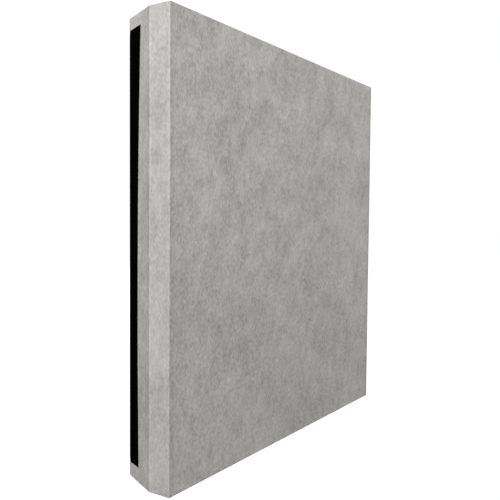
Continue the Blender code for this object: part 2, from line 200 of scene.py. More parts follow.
@dataclass(frozen=True)
class TrapShape:
    """The trap's outer sizes, read from the frame's nodes."""

    half_width: float
    height: float
    front: float
    back: float
    front_half: float
    bevel_rear: float
    slot_front: float
    slot_low: float
    slot_high: float
    hem_height: float

    @classmethod
    def from_frame(cls) -> "TrapShape":
        """Reads the sizes from the plain cloth nodes.

        Returns:
            The sizes.
        """
        low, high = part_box("face_cloth")
        points = [vert.co for vert in frame["nodes"]["face_cloth"].data.vertices]
        slot_low, slot_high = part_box("slot_cloth_right")
        back_low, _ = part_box("back_cloth")
        return cls(
            half_width=high.x,
            height=high.z,
            front=low.y,
            back=high.y,
            front_half=max(co.x for co in points if co.y < low.y + FRAME_GAP),
            bevel_rear=min(co.y for co in points if co.x > high.x - FRAME_GAP),
            slot_front=slot_low.y - FRAME_GAP,
            slot_low=slot_low.z - FRAME_GAP,
            slot_high=slot_high.z + FRAME_GAP,
            hem_height=back_low.z - FRAME_GAP,
        )

    @property
    def bevel_width(self) -> float:
        """The width of a bevel, measured across its slope."""
        return math.hypot(self.half_width - self.front_half, self.bevel_rear - self.front)

    @property
    def outline(self) -> list[Pair]:
        """The cross-section in X and Y, from the left back edge round the front to the right.

        Returns:
            (x, y) of each corner.
        """
        right = [
            (self.front_half, self.front),
            (self.half_width, self.bevel_rear),
            (self.half_width, self.back),
        ]
        return [(-x, y) for x, y in reversed(right)] + right

    def edge_x(self, y: float) -> float:
        """How far from the middle the outline lies at this Y."""
        share = (y - self.front) / (self.bevel_rear - self.front)
        return self.front_half + max(0.0, min(1.0, share)) * (self.half_width - self.front_half)

    def across(self, x: float, y: float) -> float:
        """How far a point of the wrap lies from the middle line, measured on the flat cloth.

        Args:
            x: The point's X.
            y: The point's Y.

        Returns:
            The distance, negative on the left.
        """
        side = math.copysign(1.0, x)
        past = abs(x) - self.front_half
        if past <= 0:
            return x
        if y < self.bevel_rear:
            return side * (self.front_half + math.hypot(past, y - self.front))
        return side * (self.front_half + self.bevel_width + y - self.bevel_rear)


def of_kind(items: Iterable, kind: type) -> list:
    """The items of one kind, such as the points of what an operator made."""
    return [item for item in items if isinstance(item, kind)]


def cut_across(
    bm: BMesh, axis: Axis, places: Iterable[float], faces: Sequence[BMFace] = ()
) -> None:
    """Cuts a mesh, or some of its faces, with planes square to an axis.

    Args:
        bm: The mesh.
        axis: The axis that the planes are square to.
        places: Where each plane crosses the axis.
        faces: The only faces to cut, or none to cut the whole mesh.
    """
    part = list(faces)
    for place in places:
        edges = {edge for face in part for edge in face.edges}
        verts = {vert for face in part for vert in face.verts}
        cut = bmesh.ops.bisect_plane(
            bm,
            geom=[*part, *edges, *verts] or [*bm.faces, *bm.edges, *bm.verts],
            dist=MERGE_DISTANCE,
            plane_co=axis.value * place,
            plane_no=axis.value,
        )
        if part:
            part = of_kind(cut["geom"], BMFace)


def steps_between(low: float, high: float, pitch: float) -> list[float]:
    """Evenly spaced places strictly between two ends.

    Args:
        low: The lower end.
        high: The upper end.
        pitch: The spacing wanted.

    Returns:
        The places, at the spacing nearest the one wanted that divides the length.
    """
    count = max(1, round((high - low) / pitch))
    return [low + (high - low) * step / count for step in range(1, count)]


def quarter_turn(steps: int) -> list[float]:
    """The angles of a quarter turn in equal steps, with both ends."""
    return [math.pi / 2 * step / steps for step in range(steps + 1)]


def on_axis(low: Vector, high: Vector, y: float) -> Vector:
    """The middle of a box in X and Z, at a Y."""
    return Vector(((low.x + high.x) / 2, y, (low.z + high.z) / 2))


def round_off(bm: BMesh, edges: Sequence[BMEdge], width: float) -> None:
    """Rounds edges of a mesh, in three steps.

    Args:
        bm: The mesh.
        edges: Its edges that are rounded.
        width: How far from an edge the rounding starts.
    """
    bmesh.ops.bevel(
        bm, geom=edges, offset=width, segments=3, profile=0.5, affect="EDGES", material=-1
    )


def lay_out(bm: BMesh, flat_place: Callable[[BMFace], FlatPlace]) -> None:
    """Gives each point its place on the flat cloth, in metres, as the cloth's own UV map.

    Args:
        bm: The sheet.
        flat_place: Gives, for a face, the function from its points to the flat cloth.
    """
    layer = bm.loops.layers.uv.new("flat_cloth")
    for face in bm.faces:
        place = flat_place(face)
        for loop in face.loops:
            loop[layer].uv = place(loop.vert.co)


def free_to_mesh(name: str, bm: BMesh) -> Mesh:
    """A mesh with what a bmesh holds, which is freed.

    Args:
        name: The mesh's name.
        bm: The bmesh.

    Returns:
        The mesh.
    """
    mesh = bpy.data.meshes.new(name)
    bm.to_mesh(mesh)
    bm.free()
    return mesh


def add_object(name: str, data: ID) -> Object:
    """A new object in the scene.

    Args:
        name: The object's name.
        data: Its mesh, lamp or camera.

    Returns:
        The object.
    """
    made = bpy.data.objects.new(name, data)
    bpy.context.scene.collection.objects.link(made)
    return made


def mesh_piece(name: str, bm: BMesh, finish: "Finish", body: str) -> Object:
    """Makes a finished piece of a bmesh, shaded smooth between its sharp edges, and frees it.

    Args:
        name: The piece's name.
        bm: Its mesh, in place.
        finish: Its finish.
        body: The body that it rides on.

    Returns:
        The piece's object.
    """
    mesh = free_to_mesh(name, bm)
    mesh.shade_smooth()
    mesh.set_sharp_from_angle(angle=SHARP_ANGLE)
    mesh.materials.append(finish.material())
    piece = add_object(name, mesh)
    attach(piece, body)
    LOG.info("%s: %d faces, rides on %s", name, len(mesh.polygons), body)
    return piece


def soften_edges(piece: Object, width: float, steps: int, angle: float) -> None:
    """Rounds a finished piece's edges.

    Args:
        piece: The piece.
        width: How far from the edge the rounding starts.
        steps: Its steps.
        angle: The least turn of an edge that is rounded.
    """
    bevel = piece.modifiers.new("soft_edges", "BEVEL")
    bevel.width = width
    bevel.segments = steps
    bevel.limit_method = "ANGLE"
    bevel.angle_limit = angle


def keep_faces_flat(piece: Object) -> None:
    """Keeps the shading of large faces flat beside their softened edges."""
    piece.modifiers.new("flat_faces", "WEIGHTED_NORMAL").keep_sharp = True


def make_cloth(piece: Object, thickness: float) -> None:
    """Gives an open sheet its thickness, inwards from its outer face, with rounded raw edges.

    Args:
        piece: The sheet.
        thickness: The cloth's thickness.
    """
    solidify = piece.modifiers.new("thickness", "SOLIDIFY")
    solidify.thickness = thickness
    solidify.offset = -1.0
    solidify.use_even_offset = True
    soften_edges(piece, thickness * RAW_EDGE_SHARE, steps=2, angle=RAW_EDGE_ANGLE)
    keep_faces_flat(piece)


def turned(profile: Sequence[Pair], steps: int, place: Vector) -> BMesh:
    """A round piece on the +Y axis through a place, spun from its profile.

    Args:
        profile: (radius, height along +Y) pairs, from the axis to the axis.
        steps: How many steps the spin takes.
        place: Where the profile's height 0 lies.

    Returns:
        The closed mesh.
    """
    bm = bmesh.new()
    verts = [
        bm.verts.new((place.x + radius, place.y + height, place.z)) for radius, height in profile
    ]
    edges = [bm.edges.new(pair) for pair in zip(verts, verts[1:])]
    bmesh.ops.spin(
        bm,
        geom=[*verts, *edges],
        cent=place,
        axis=Axis.Y.value,
        angle=math.tau,
        steps=steps,
        use_merge=True,
    )
    bmesh.ops.remove_doubles(bm, verts=bm.verts, dist=MERGE_DISTANCE)
    bmesh.ops.recalc_face_normals(bm, faces=bm.faces)
    return bm


def take_out(bm: BMesh, cutter: BMesh) -> BMesh:
    """Cuts one closed mesh out of another.

    Args:
        bm: The mesh that is cut. It is freed.
        cutter: The mesh that is taken out. It is freed.

    Returns:
        What is left.
    """
    objects = [
        add_object(label, free_to_mesh(label, source))
        for label, source in (("cut", bm), ("cutter", cutter))
    ]
    boolean = objects[0].modifiers.new("recess", "BOOLEAN")
    boolean.operation = "DIFFERENCE"
    boolean.solver = "EXACT"
    boolean.use_self = True
    boolean.object = objects[1]
    graph = bpy.context.evaluated_depsgraph_get()
    result = bmesh.new()
    result.from_object(objects[0], graph)
    for obj in objects:
        bpy.data.objects.remove(obj, do_unlink=True)
    return result


@dataclass
class Wiring:
    """Adds nodes to one node tree and links them."""

    tree: NodeTree

    def add(self, kind: str, inputs: dict[Union[str, int], Value], **settings: object) -> Node:
        """Adds a node.

        Args:
            kind: The node's type, without its ShaderNode prefix.
            inputs: What feeds each of its inputs, by name or number.
            **settings: Its own properties.

        Returns:
            The node.
        """
        node = self.tree.nodes.new("ShaderNode" + kind)
        for name, value in settings.items():
            setattr(node, name, value)
        for key, value in inputs.items():
            self.feed(node.inputs[key], value)
        return node

    def feed(self, socket: NodeSocket, value: Value) -> None:
        """Links a socket into an input, or sets the input's own value.

        Args:
            socket: The input.
            value: A socket, or a value.
        """
        if isinstance(value, NodeSocket):
            self.tree.links.new(value, socket)
        else:
            socket.default_value = value

    def coordinates(self, follows: Follows = Follows.PIECE) -> NodeSocket:
        """The coordinates that a pattern reads."""
        return self.add("TexCoord", {}).outputs[follows.value]

    def math(self, operation: str, first: Value, second: Value = 0.0) -> NodeSocket:
        """The result of a Math node."""
        return self.add("Math", {0: first, 1: second}, operation=operation).outputs[0]

    def plus(self, first: Value, second: Value) -> NodeSocket:
        """The sum of two numbers."""
        return self.math("ADD", first, second)

    def minus(self, first: Value, second: Value) -> NodeSocket:
        """The first number less the second."""
        return self.math("SUBTRACT", first, second)

    def times(self, first: Value, second: Value) -> NodeSocket:
        """The product of two numbers."""
        return self.math("MULTIPLY", first, second)

    def larger(self, first: Value, second: Value) -> NodeSocket:
        """The larger of two numbers."""
        return self.math("MAXIMUM", first, second)

    def parts(self, vector: Value) -> NodeOutputs:
        """The three parts of a vector."""
        return self.add("SeparateXYZ", {0: vector}).outputs

    def length(self, vector: Value) -> NodeSocket:
        """The length of a vector."""
        return self.add("VectorMath", {0: vector}, operation="LENGTH").outputs["Value"]

    def scale(self, vector: Value, factors: Sequence[float]) -> NodeSocket:
        """A vector with each part multiplied by its own factor."""
        return self.add("VectorMath", {0: vector, 1: factors}, operation="MULTIPLY").outputs[0]

    def divide(self, vector: Value, *sizes: Value) -> NodeSocket:
        """A vector with each part divided by its own size, or all by the one size given.

        Args:
            vector: The vector.
            *sizes: One size, or one for each part.

        Returns:
            The socket of the result.
        """
        sizes = sizes * 3 if len(sizes) == 1 else sizes
        divisor = self.add("CombineXYZ", dict(enumerate(sizes))).outputs[0]
        return self.add("VectorMath", {0: vector, 1: divisor}, operation="DIVIDE").outputs[0]

    def noise(
        self,
        vector: Value,
        detail: float = 2.0,
        roughness: float = 0.5,
        distortion: float = 0.0,
        scale: float = 1.0,
    ) -> NodeSocket:
        """The value of a Noise Texture.

        Args:
            vector: Where it is read.
            detail: Its octaves.
            roughness: How strong the fine octaves are.
            distortion: How far it is warped.
            scale: Its scale.

        Returns:
            The socket of its value, 0 to 1.
        """
        inputs = {
            "Vector": vector,
            "Scale": scale,
            "Detail": detail,
            "Roughness": roughness,
            "Distortion": distortion,
        }
        return self.add("TexNoise", inputs).outputs[0]

    def ramp(
        self, value: Value, low: float, high: float, start: float = 0.0, end: float = 1.0
    ) -> NodeSocket:
        """A smooth, clamped rise.

        Args:
            value: What is mapped.
            low: The value at which the rise starts.
            high: The value at which it ends.
            start: The result at low.
            end: The result at high.

        Returns:
            The socket of the result.
        """
        inputs = {"Value": value, "From Min": low, "From Max": high, "To Min": start, "To Max": end}
        node = self.add("MapRange", inputs, interpolation_type="SMOOTHSTEP", clamp=True)
        return node.outputs[0]

    def mix(self, share: Value, first: Value, second: Value) -> NodeSocket:
        """A colour between two colours.

        Args:
            share: 0 for the first, 1 for the second.
            first: A linear colour, or a socket.
            second: A linear colour, or a socket.

        Returns:
            The socket of the mixed colour.
        """
        ends = [(*end, 1.0) if isinstance(end, tuple) else end for end in (first, second)]
        node = self.add("Mix", {0: share, 6: ends[0], 7: ends[1]}, data_type="RGBA")
        return node.outputs[2]

    def coats(self, colour: Value, *layers: tuple[Value, float, Value]) -> Value:
        """A colour under layers that show where their masks do.

        Args:
            colour: The colour below.
            *layers: (mask, share, colour) of each layer, from the lowest.

        Returns:
            The socket of what is seen.
        """
        for mask, share, layer in layers:
            colour = self.mix(self.times(mask, share), colour, layer)
        return colour

    def blend(self, share: Value, first: Value, second: Value) -> NodeSocket:
        """A number between two numbers."""
        return self.add("Mix", {0: share, 2: first, 3: second}).outputs[0]

    def weighted(self, *terms: tuple[Value, float], start: float = 0.5) -> NodeSocket:
        """A start value plus each term's distance from one half, times its weight.

        Args:
            *terms: (socket of a value about one half, weight) pairs.
            start: The value that they are added to.

        Returns:
            The socket of the sum.
        """
        total: Value = start
        for value, weight in terms:
            total = self.plus(total, self.times(self.minus(value, 0.5), weight))
        return total

    def seen(self) -> NodeSocket:
        """1 for a ray that shows the surroundings: seen, reflected or through glass.

        Returns:
            The socket of the value.
        """
        rays = self.add("LightPath", {}).outputs
        both = self.larger(rays["Is Camera Ray"], rays["Is Glossy Ray"])
        return self.larger(both, rays["Is Transmission Ray"])


class Effect:
    """A shader node group that several finishes share, built once."""

    label: str = ""
    inputs: dict[str, tuple[str, object]] = {}
    outputs: tuple[str, ...] = ()

    @classmethod
    @cache
    def group(cls) -> NodeTree:
        """Builds the group, once for all the materials that use it.

        Returns:
            The node group.
        """
        tree = bpy.data.node_groups.new(cls.label, "ShaderNodeTree")
        for name, (kind, value) in cls.inputs.items():
            socket = tree.interface.new_socket(
                name, in_out="INPUT", socket_type="NodeSocket" + kind
            )
            if value is not None:
                socket.default_value = value
        for name in cls.outputs:
            tree.interface.new_socket(name, in_out="OUTPUT", socket_type="NodeSocketFloat")
        wiring = Wiring(tree)
        start = tree.nodes.new("NodeGroupInput")
        results = cls.wire(wiring, start.outputs)
        end = tree.nodes.new("NodeGroupOutput")
        for name, result in zip(cls.outputs, results):
            tree.links.new(result, end.inputs[name])
        return tree

    @classmethod
    def wire(cls, wiring: Wiring, given: NodeOutputs) -> tuple[NodeSocket, ...]:
        """Builds the group's nodes.

        Args:
            wiring: Adds nodes to the group.
            given: The group's inputs.

        Returns:
            A socket for each of the group's outputs, in order.
        """
        raise NotImplementedError

    @classmethod
    def place(cls, wiring: Wiring, **values: Value) -> NodeOutputs:
        """Puts the group in a material.

        Args:
            wiring: Adds nodes to the material.
            **values: Its inputs, with _ for each space of a name.

        Returns:
            The placed group's outputs.
        """
        node = wiring.add("Group", {}, node_tree=cls.group())
        for name, value in values.items():
            wiring.feed(node.inputs[name.replace("_", " ")], value)
        return node.outputs


class BrushedNap(Effect):
    """Short brushed fibres: leaning flecks and streaks, clouds where the nap lies another way,
    a slow drift of shade, and fine pile.
    """

    label = "brushed nap"
    inputs = {
        "Vector": ("Vector", None),
        "Fleck Width": ("Float", 0.0042),
        "Fleck Length": ("Float", 0.0105),
        "Cloud Size": ("Float", 0.055),
        "Pile Width": ("Float", 0.0005),
    }
    outputs = ("Flecks", "Streaks", "Clouds", "Drift", "Pile")
    fleck_leans: Factors = (0.22, -0.16)
    streak_turn: float = 0.3
    streak_share: Factors = (0.22, 0.22, 1.0)
    cloud_stretch: float = 1.4
    cloud_spread: Pair = (0.28, 0.72)
    drift_share: Factors = (0.28, 0.35, 1.0)
    pile_stretch: float = 6.0

    @classmethod
    def wire(cls, wiring: Wiring, given: NodeOutputs) -> tuple[NodeSocket, ...]:
        """Builds the five patterns.

        Args:
            wiring: Adds nodes to the group.
            given: The group's inputs.

        Returns:
            The sockets of its outputs, in order.
        """
        vector = given["Vector"]
        parts = wiring.parts(vector)
        leaning = []
        for lean in cls.fleck_leans:
            slid = wiring.plus(parts[0], wiring.times(parts[1], lean))
            leant = wiring.add("CombineXYZ", {0: slid, 1: parts[1], 2: lean}).outputs[0]
            cells = wiring.divide(leant, given["Fleck Width"], given["Fleck Length"], 1.0)
            leaning.append(wiring.noise(cells, detail=2.0, roughness=0.55, distortion=0.35))
        flecks = wiring.ramp(wiring.times(wiring.plus(*leaning), 0.5), *SPREAD)
        turned_cells = wiring.add(
            "VectorRotate", {0: cells, "Angle": cls.streak_turn}, rotation_type="Z_AXIS"
        ).outputs[0]
        broad = wiring.scale(turned_cells, cls.streak_share)
        streaks = wiring.noise(broad, detail=3.0, roughness=0.6, distortion=0.5)
        cloud_length = wiring.times(given["Cloud Size"], cls.cloud_stretch)
        cells = wiring.divide(vector, given["Cloud Size"], cloud_length, 1.0)
        clouds = wiring.noise(cells, detail=3.0, roughness=0.6, distortion=0.3)
        drift = wiring.noise(wiring.scale(cells, cls.drift_share), detail=2.0, distortion=0.5)
        pile_length = wiring.times(given["Pile Width"], cls.pile_stretch)
        strands = wiring.divide(vector, given["Pile Width"], pile_length, 1.0)
        return (
            flecks,
            wiring.ramp(streaks, *SPREAD),
            wiring.ramp(clouds, *cls.cloud_spread),
            wiring.ramp(drift, *SPREAD),
            wiring.noise(strands, detail=2.0, roughness=0.6),
        )


class PlainWeave(Effect):
    """Warp and weft threads that pass over and under each other."""

    label = "plain weave"
    inputs = {
        "Vector": ("Vector", None),
        "Thread": ("Float", 0.0006),
        "Unevenness": ("Float", 0.3),
    }
    outputs = ("Height", "Thread Shade", "Gaps")
    wobble_share: Factors = (0.07, 0.07, 0.07)
    slub_share: Factors = (0.9, 0.04, 0.9)

    @classmethod
    def wire(cls, wiring: Wiring, given: NodeOutputs) -> tuple[NodeSocket, ...]:
        """Builds the threads' height, their uneven shade and the gaps between them.

        Args:
            wiring: Adds nodes to the group.
            given: The group's inputs.

        Returns:
            The sockets of its outputs, in order.
        """
        cells = wiring.divide(given["Vector"], given["Thread"])
        wobble = wiring.noise(wiring.scale(cells, cls.wobble_share), detail=2.0)
        arcs, numbers = [], []
        for part in wiring.parts(cells)[:2]:
            moved = wiring.plus(part, wiring.times(wobble, given["Unevenness"]))
            wave = wiring.math("SINE", wiring.times(moved, math.pi))
            arcs.append(wiring.math("ABSOLUTE", wave))
            numbers.append(wiring.math("FLOOR", moved))
        parity = wiring.math("PINGPONG", wiring.plus(*numbers), 1.0)
        height = wiring.blend(parity, *arcs)
        gaps = wiring.minus(1.0, wiring.larger(*arcs))
        return height, wiring.noise(wiring.scale(cells, cls.slub_share), detail=1.0), gaps


class WoodGrain(Effect):
    """Growth rings, long fibres and pores of wood whose grain runs along the vector's Z."""

    label = "wood grain"
    inputs = {
        "Vector": ("Vector", None),
        "Ring Width": ("Float", 0.005),
        "Figure": ("Float", 2.0),
    }
    outputs = ("Rings", "Fibres", "Pores")
    from_pith: Factors = (0.03, 0.11, 0.0)
    wave_scale: Factors = (9.0, 9.0, 1.3)
    ring_share: Factors = (1.0, 1.0, 0.06)
    ring_sharpness: float = 2.2
    fibre_scale: Factors = (1400.0, 1400.0, 26.0)
    pore_scale: Factors = (2600.0, 2600.0, 160.0)
    pore_spread: Pair = (0.62, 0.75)

    @classmethod
    def wire(cls, wiring: Wiring, given: NodeOutputs) -> tuple[NodeSocket, ...]:
        """Builds the rings, the fibres and the pores.

        Args:
            wiring: Adds nodes to the group.
            given: The group's inputs.

        Returns:
            The sockets of its outputs, in order.
        """
        vector = given["Vector"]
        pith = wiring.add("VectorMath", {0: vector, 1: cls.from_pith}, operation="ADD").outputs[0]
        waves = wiring.noise(wiring.scale(vector, cls.wave_scale), detail=2.0, distortion=0.4)
        radius = wiring.length(wiring.scale(pith, cls.ring_share))
        count = wiring.math("DIVIDE", radius, given["Ring Width"])
        bent = wiring.plus(count, wiring.times(waves, given["Figure"]))
        rings = wiring.math("POWER", wiring.math("FRACT", bent), cls.ring_sharpness)
        fibres = wiring.noise(wiring.scale(vector, cls.fibre_scale), detail=3.0, roughness=0.65)
        specks = wiring.noise(wiring.scale(vector, cls.pore_scale), detail=1.0)
        return rings, fibres, wiring.ramp(specks, *cls.pore_spread)


class FibreMat(Effect):
    """Loose fibres that cross each other, in clumps, as in mineral wool, felt and wadding."""

    label = "fibre mat"
    inputs = {
        "Vector": ("Vector", None),
        "Fibre": ("Float", 0.0008),
        "Clump": ("Float", 0.02),
    }
    outputs = ("Fibres", "Clumps")
    strand_turns: tuple[Factors, ...] = (
        (0.4, 0.2, 0.0),
        (0.1, 1.2, 0.7),
        (1.3, 0.3, 2.0),
    )
    strand_share: Factors = (1.0, 0.09, 0.6)
    strand_width: float = 0.05

    @classmethod
    def wire(cls, wiring: Wiring, given: NodeOutputs) -> tuple[NodeSocket, ...]:
        """Builds crossing strands and the clumps that they lie in.

        Args:
            wiring: Adds nodes to the group.
            given: The group's inputs.

        Returns:
            The sockets of its outputs, in order.
        """
        cells = wiring.divide(given["Vector"], given["Fibre"])
        strands: Value = 0.0
        for turn in cls.strand_turns:
            inputs = {0: cells, "Rotation": turn}
            crossed = wiring.add("VectorRotate", inputs, rotation_type="EULER_XYZ").outputs[0]
            stretched = wiring.scale(crossed, cls.strand_share)
            value = wiring.noise(stretched, detail=2.0, distortion=0.5)
            ridge = wiring.math("ABSOLUTE", wiring.minus(value, 0.5))
            strands = wiring.larger(strands, wiring.ramp(ridge, cls.strand_width, 0.0))
        clumps = wiring.noise(wiring.divide(given["Vector"], given["Clump"]), detail=3.0)
        return strands, wiring.ramp(clumps, *SPREAD)


class WornEdges(Effect):
    """Where a surface bends sharply, and so rubs first."""

    label = "worn edges"
    inputs = {
        "Vector": ("Vector", None),
        "Radius": ("Float", 0.001),
        "Break Up": ("Float", 0.004),
    }
    outputs = ("Wear",)
    samples: int = 6
    bend_cosines: Pair = (0.995, 0.9)
    patch_spread: Pair = (0.35, 0.6)

    @classmethod
    def wire(cls, wiring: Wiring, given: NodeOutputs) -> tuple[NodeSocket, ...]:
        """Compares a rounded normal with the true one and breaks the mask up.

        Args:
            wiring: Adds nodes to the group.
            given: The group's inputs.

        Returns:
            The sockets of its outputs, in order.
        """
        inputs = {"Radius": given["Radius"]}
        rounded = wiring.add("Bevel", inputs, samples=cls.samples).outputs[0]
        normal = wiring.add("NewGeometry", {}).outputs["Normal"]
        same = wiring.add("VectorMath", {0: rounded, 1: normal}, operation="DOT_PRODUCT")
        bend = wiring.ramp(same.outputs["Value"], *cls.bend_cosines)
        patches = wiring.noise(wiring.divide(given["Vector"], given["Break Up"]), detail=3.0)
        return (wiring.times(bend, wiring.ramp(patches, *cls.patch_spread)),)


class SettledDust(Effect):
    """Fine dust, thickest on faces that look up."""

    label = "settled dust"
    inputs = {"Vector": ("Vector", None), "Patch": ("Float", 0.03)}
    outputs = ("Dust",)
    facing: Pair = (-0.2, 1.0)
    least: float = 0.25
    patch_spread: Pair = (0.35, 0.7)
    speck_scale: Factors = (40.0, 40.0, 40.0)
    speck_spread: Pair = (0.6, 0.75)

    @classmethod
    def wire(cls, wiring: Wiring, given: NodeOutputs) -> tuple[NodeSocket, ...]:
        """Builds the mask from the way a face looks and two sizes of noise.

        Args:
            wiring: Adds nodes to the group.
            given: The group's inputs.

        Returns:
            The sockets of its outputs, in order.
        """
        facing_up = wiring.parts(wiring.coordinates(Follows.NORMAL))[2]
        up = wiring.ramp(facing_up, *cls.facing, cls.least, 1.0)
        cells = wiring.divide(given["Vector"], given["Patch"])
        patches = wiring.ramp(wiring.noise(cells, detail=4.0, roughness=0.7), *cls.patch_spread)
        specks = wiring.noise(wiring.scale(cells, cls.speck_scale), detail=1.0)
        return (wiring.times(up, wiring.larger(patches, wiring.ramp(specks, *cls.speck_spread))),)


@dataclass(frozen=True)
class Finish:
    """A surface finish, and the material that shows it."""

    name: str

    @cache
    def material(self) -> Material:
        """Builds the material, once for all the pieces that wear it.

        Returns:
            The material.
        """
        made = bpy.data.materials.new(self.name)
        made.use_nodes = True
        self.wire(Wiring(made.node_tree), made.node_tree.nodes["Principled BSDF"].inputs)
        return made

    def wire(self, wiring: Wiring, shader: NodeInputs) -> None:
        """Builds the material's nodes.

        Args:
            wiring: Adds nodes to the material.
            shader: The inputs of its Principled BSDF.
        """
        raise NotImplementedError

    @staticmethod
    def bump(
        wiring: Wiring, shader: NodeInputs, height: Value, depth: float, strength: float
    ) -> None:
        """Feeds the shader's normal from a height.

        Args:
            wiring: Adds nodes to the material.
            shader: The inputs of its Principled BSDF.
            height: The height, 0 to 1.
            depth: How deep 1 is, in metres.
            strength: How much of the bump shows.
        """
        inputs = {"Height": height, "Distance": depth, "Strength": strength}
        wiring.feed(shader["Normal"], wiring.add("Bump", inputs).outputs[0])


@dataclass(frozen=True)
class BrushedCloth(Finish):
    """Grey microsuede: leaning flecks, clouds of nap, and painted light and shade at arrises and
    bevels.
    """

    colour: Colour = srgb(170, 168.7, 164)
    light_colour: Colour = srgb(170, 168.8, 165.2)
    warm_colour: Colour = srgb(171, 166, 162)
    contrast: float = 0.30
    fleck_weight: float = 0.66
    streak_weight: float = 0.26
    cloud_weight: float = 0.28
    drift_weight: float = 0.24
    pile_weight: float = 0.30
    # Painted highlight on the bevel along each arris and at the slot's lip, and painted shade on
    # the front and sides beside each arris
    edge_highlight_weight: float = 0.09
    shaded_weight: float = -0.10
    # Painted light that makes each bevel lighter than the front and the sides
    bevel_weight: float = 0.15
    highlight_start: Pair = (-0.012, -0.001)
    highlight_stop: Pair = (0.001, -0.0005)
    shaded_start: Pair = (0.0, 0.003)
    shaded_stop: Pair = (0.016, 0.004)
    lip: Pair = (0.006, 0.002)
    warm_heights: Pair = (0.75, 0.1)
    warm_scale: Factors = (36.0, 28.0, 1.0)
    warm_spread: Pair = (0.58, 0.72)
    roughness: Pair = (0.82, 0.98)
    nap_depth: float = 0.0004
    arrises: Pair = (0.0, 0.0)
    slot_edge: float = 1.0

    def wire(self, wiring: Wiring, shader: NodeInputs) -> None:
        """Mixes a light and a dark nap by the pattern and by the painted light and shade.

        Args:
            wiring: Adds nodes to the material.
            shader: The inputs of its Principled BSDF.
        """
        vector = wiring.coordinates(Follows.CLOTH)
        flecks, streaks, clouds, drift, pile = BrushedNap.place(wiring, Vector=vector)
        across, along, _ = wiring.parts(vector)
        share = wiring.weighted(
            (flecks, self.fleck_weight),
            (streaks, self.streak_weight),
            (clouds, self.cloud_weight),
            (drift, self.drift_weight),
            (pile, self.pile_weight),
        )
        # Adds the painted highlights, the painted shade and the painted bevel light to the share
        for mask, weight in self.masks(wiring, wiring.math("ABSOLUTE", across)):
            share = wiring.plus(share, wiring.times(mask, weight / (2 * self.contrast)))
        patches = wiring.noise(wiring.scale(vector, self.warm_scale), detail=3.0, roughness=0.6)
        warmth = wiring.times(
            wiring.ramp(along, *self.warm_heights), wiring.ramp(patches, *self.warm_spread)
        )
        dark, light = 1 - self.contrast, 1 + self.contrast
        nap = wiring.mix(
            share,
            wiring.mix(warmth, scaled(self.colour, dark), scaled(self.warm_colour, dark)),
            wiring.mix(warmth, scaled(self.light_colour, light), scaled(self.warm_colour, light)),
        )
        nap.node.clamp_factor = False
        wiring.feed(shader["Base Color"], nap)
        wiring.feed(shader["Roughness"], wiring.ramp(pile, *WIDE_SPREAD, *self.roughness))
        shader["Specular IOR Level"].default_value = 0.2
        shader["Sheen Weight"].default_value = 0.12
        shader["Sheen Roughness"].default_value = 0.5
        height = wiring.weighted((pile, 0.5), (flecks, 0.5))
        self.bump(wiring, shader, height, self.nap_depth, 0.5)

    def masks(self, wiring: Wiring, across: Value) -> list[tuple[Value, float]]:
        """Painted highlights at the arrises and the slot's lip, painted shade beside the arrises,
        and painted bevel light.

        Args:
            wiring: Adds nodes to the material.
            across: The distance from the cloth's middle line.

        Returns:
            (socket of the mask, weight) pairs.
        """
        edge_highlight: Value = 0.0
        shaded: Value = 0.0
        # Painted highlight on the bevel along each arris, and painted shade on the front and the
        # side beside it
        for line, outwards in zip(self.arrises, (-1.0, 1.0)):
            past = wiring.times(wiring.minus(across, line), outwards)
            light = wiring.times(
                wiring.ramp(past, *self.highlight_stop), wiring.ramp(past, *self.highlight_start)
            )
            dark = wiring.times(
                wiring.ramp(past, *self.shaded_start), wiring.ramp(past, *self.shaded_stop)
            )
            edge_highlight = wiring.larger(edge_highlight, light)
            shaded = wiring.larger(shaded, dark)
        # A lighter band along the slot's turned edge, painted into the same highlight mask
        lip = wiring.ramp(across, *(self.slot_edge - distance for distance in self.lip))
        # Painted light that makes the whole bevel lighter than the front and the sides
        bevel = wiring.times(
            wiring.math("GREATER_THAN", across, self.arrises[0]),
            wiring.math("LESS_THAN", across, self.arrises[1]),
        )
        return [
            (wiring.larger(edge_highlight, lip), self.edge_highlight_weight),
            (shaded, self.shaded_weight),
            (bevel, self.bevel_weight),
        ]


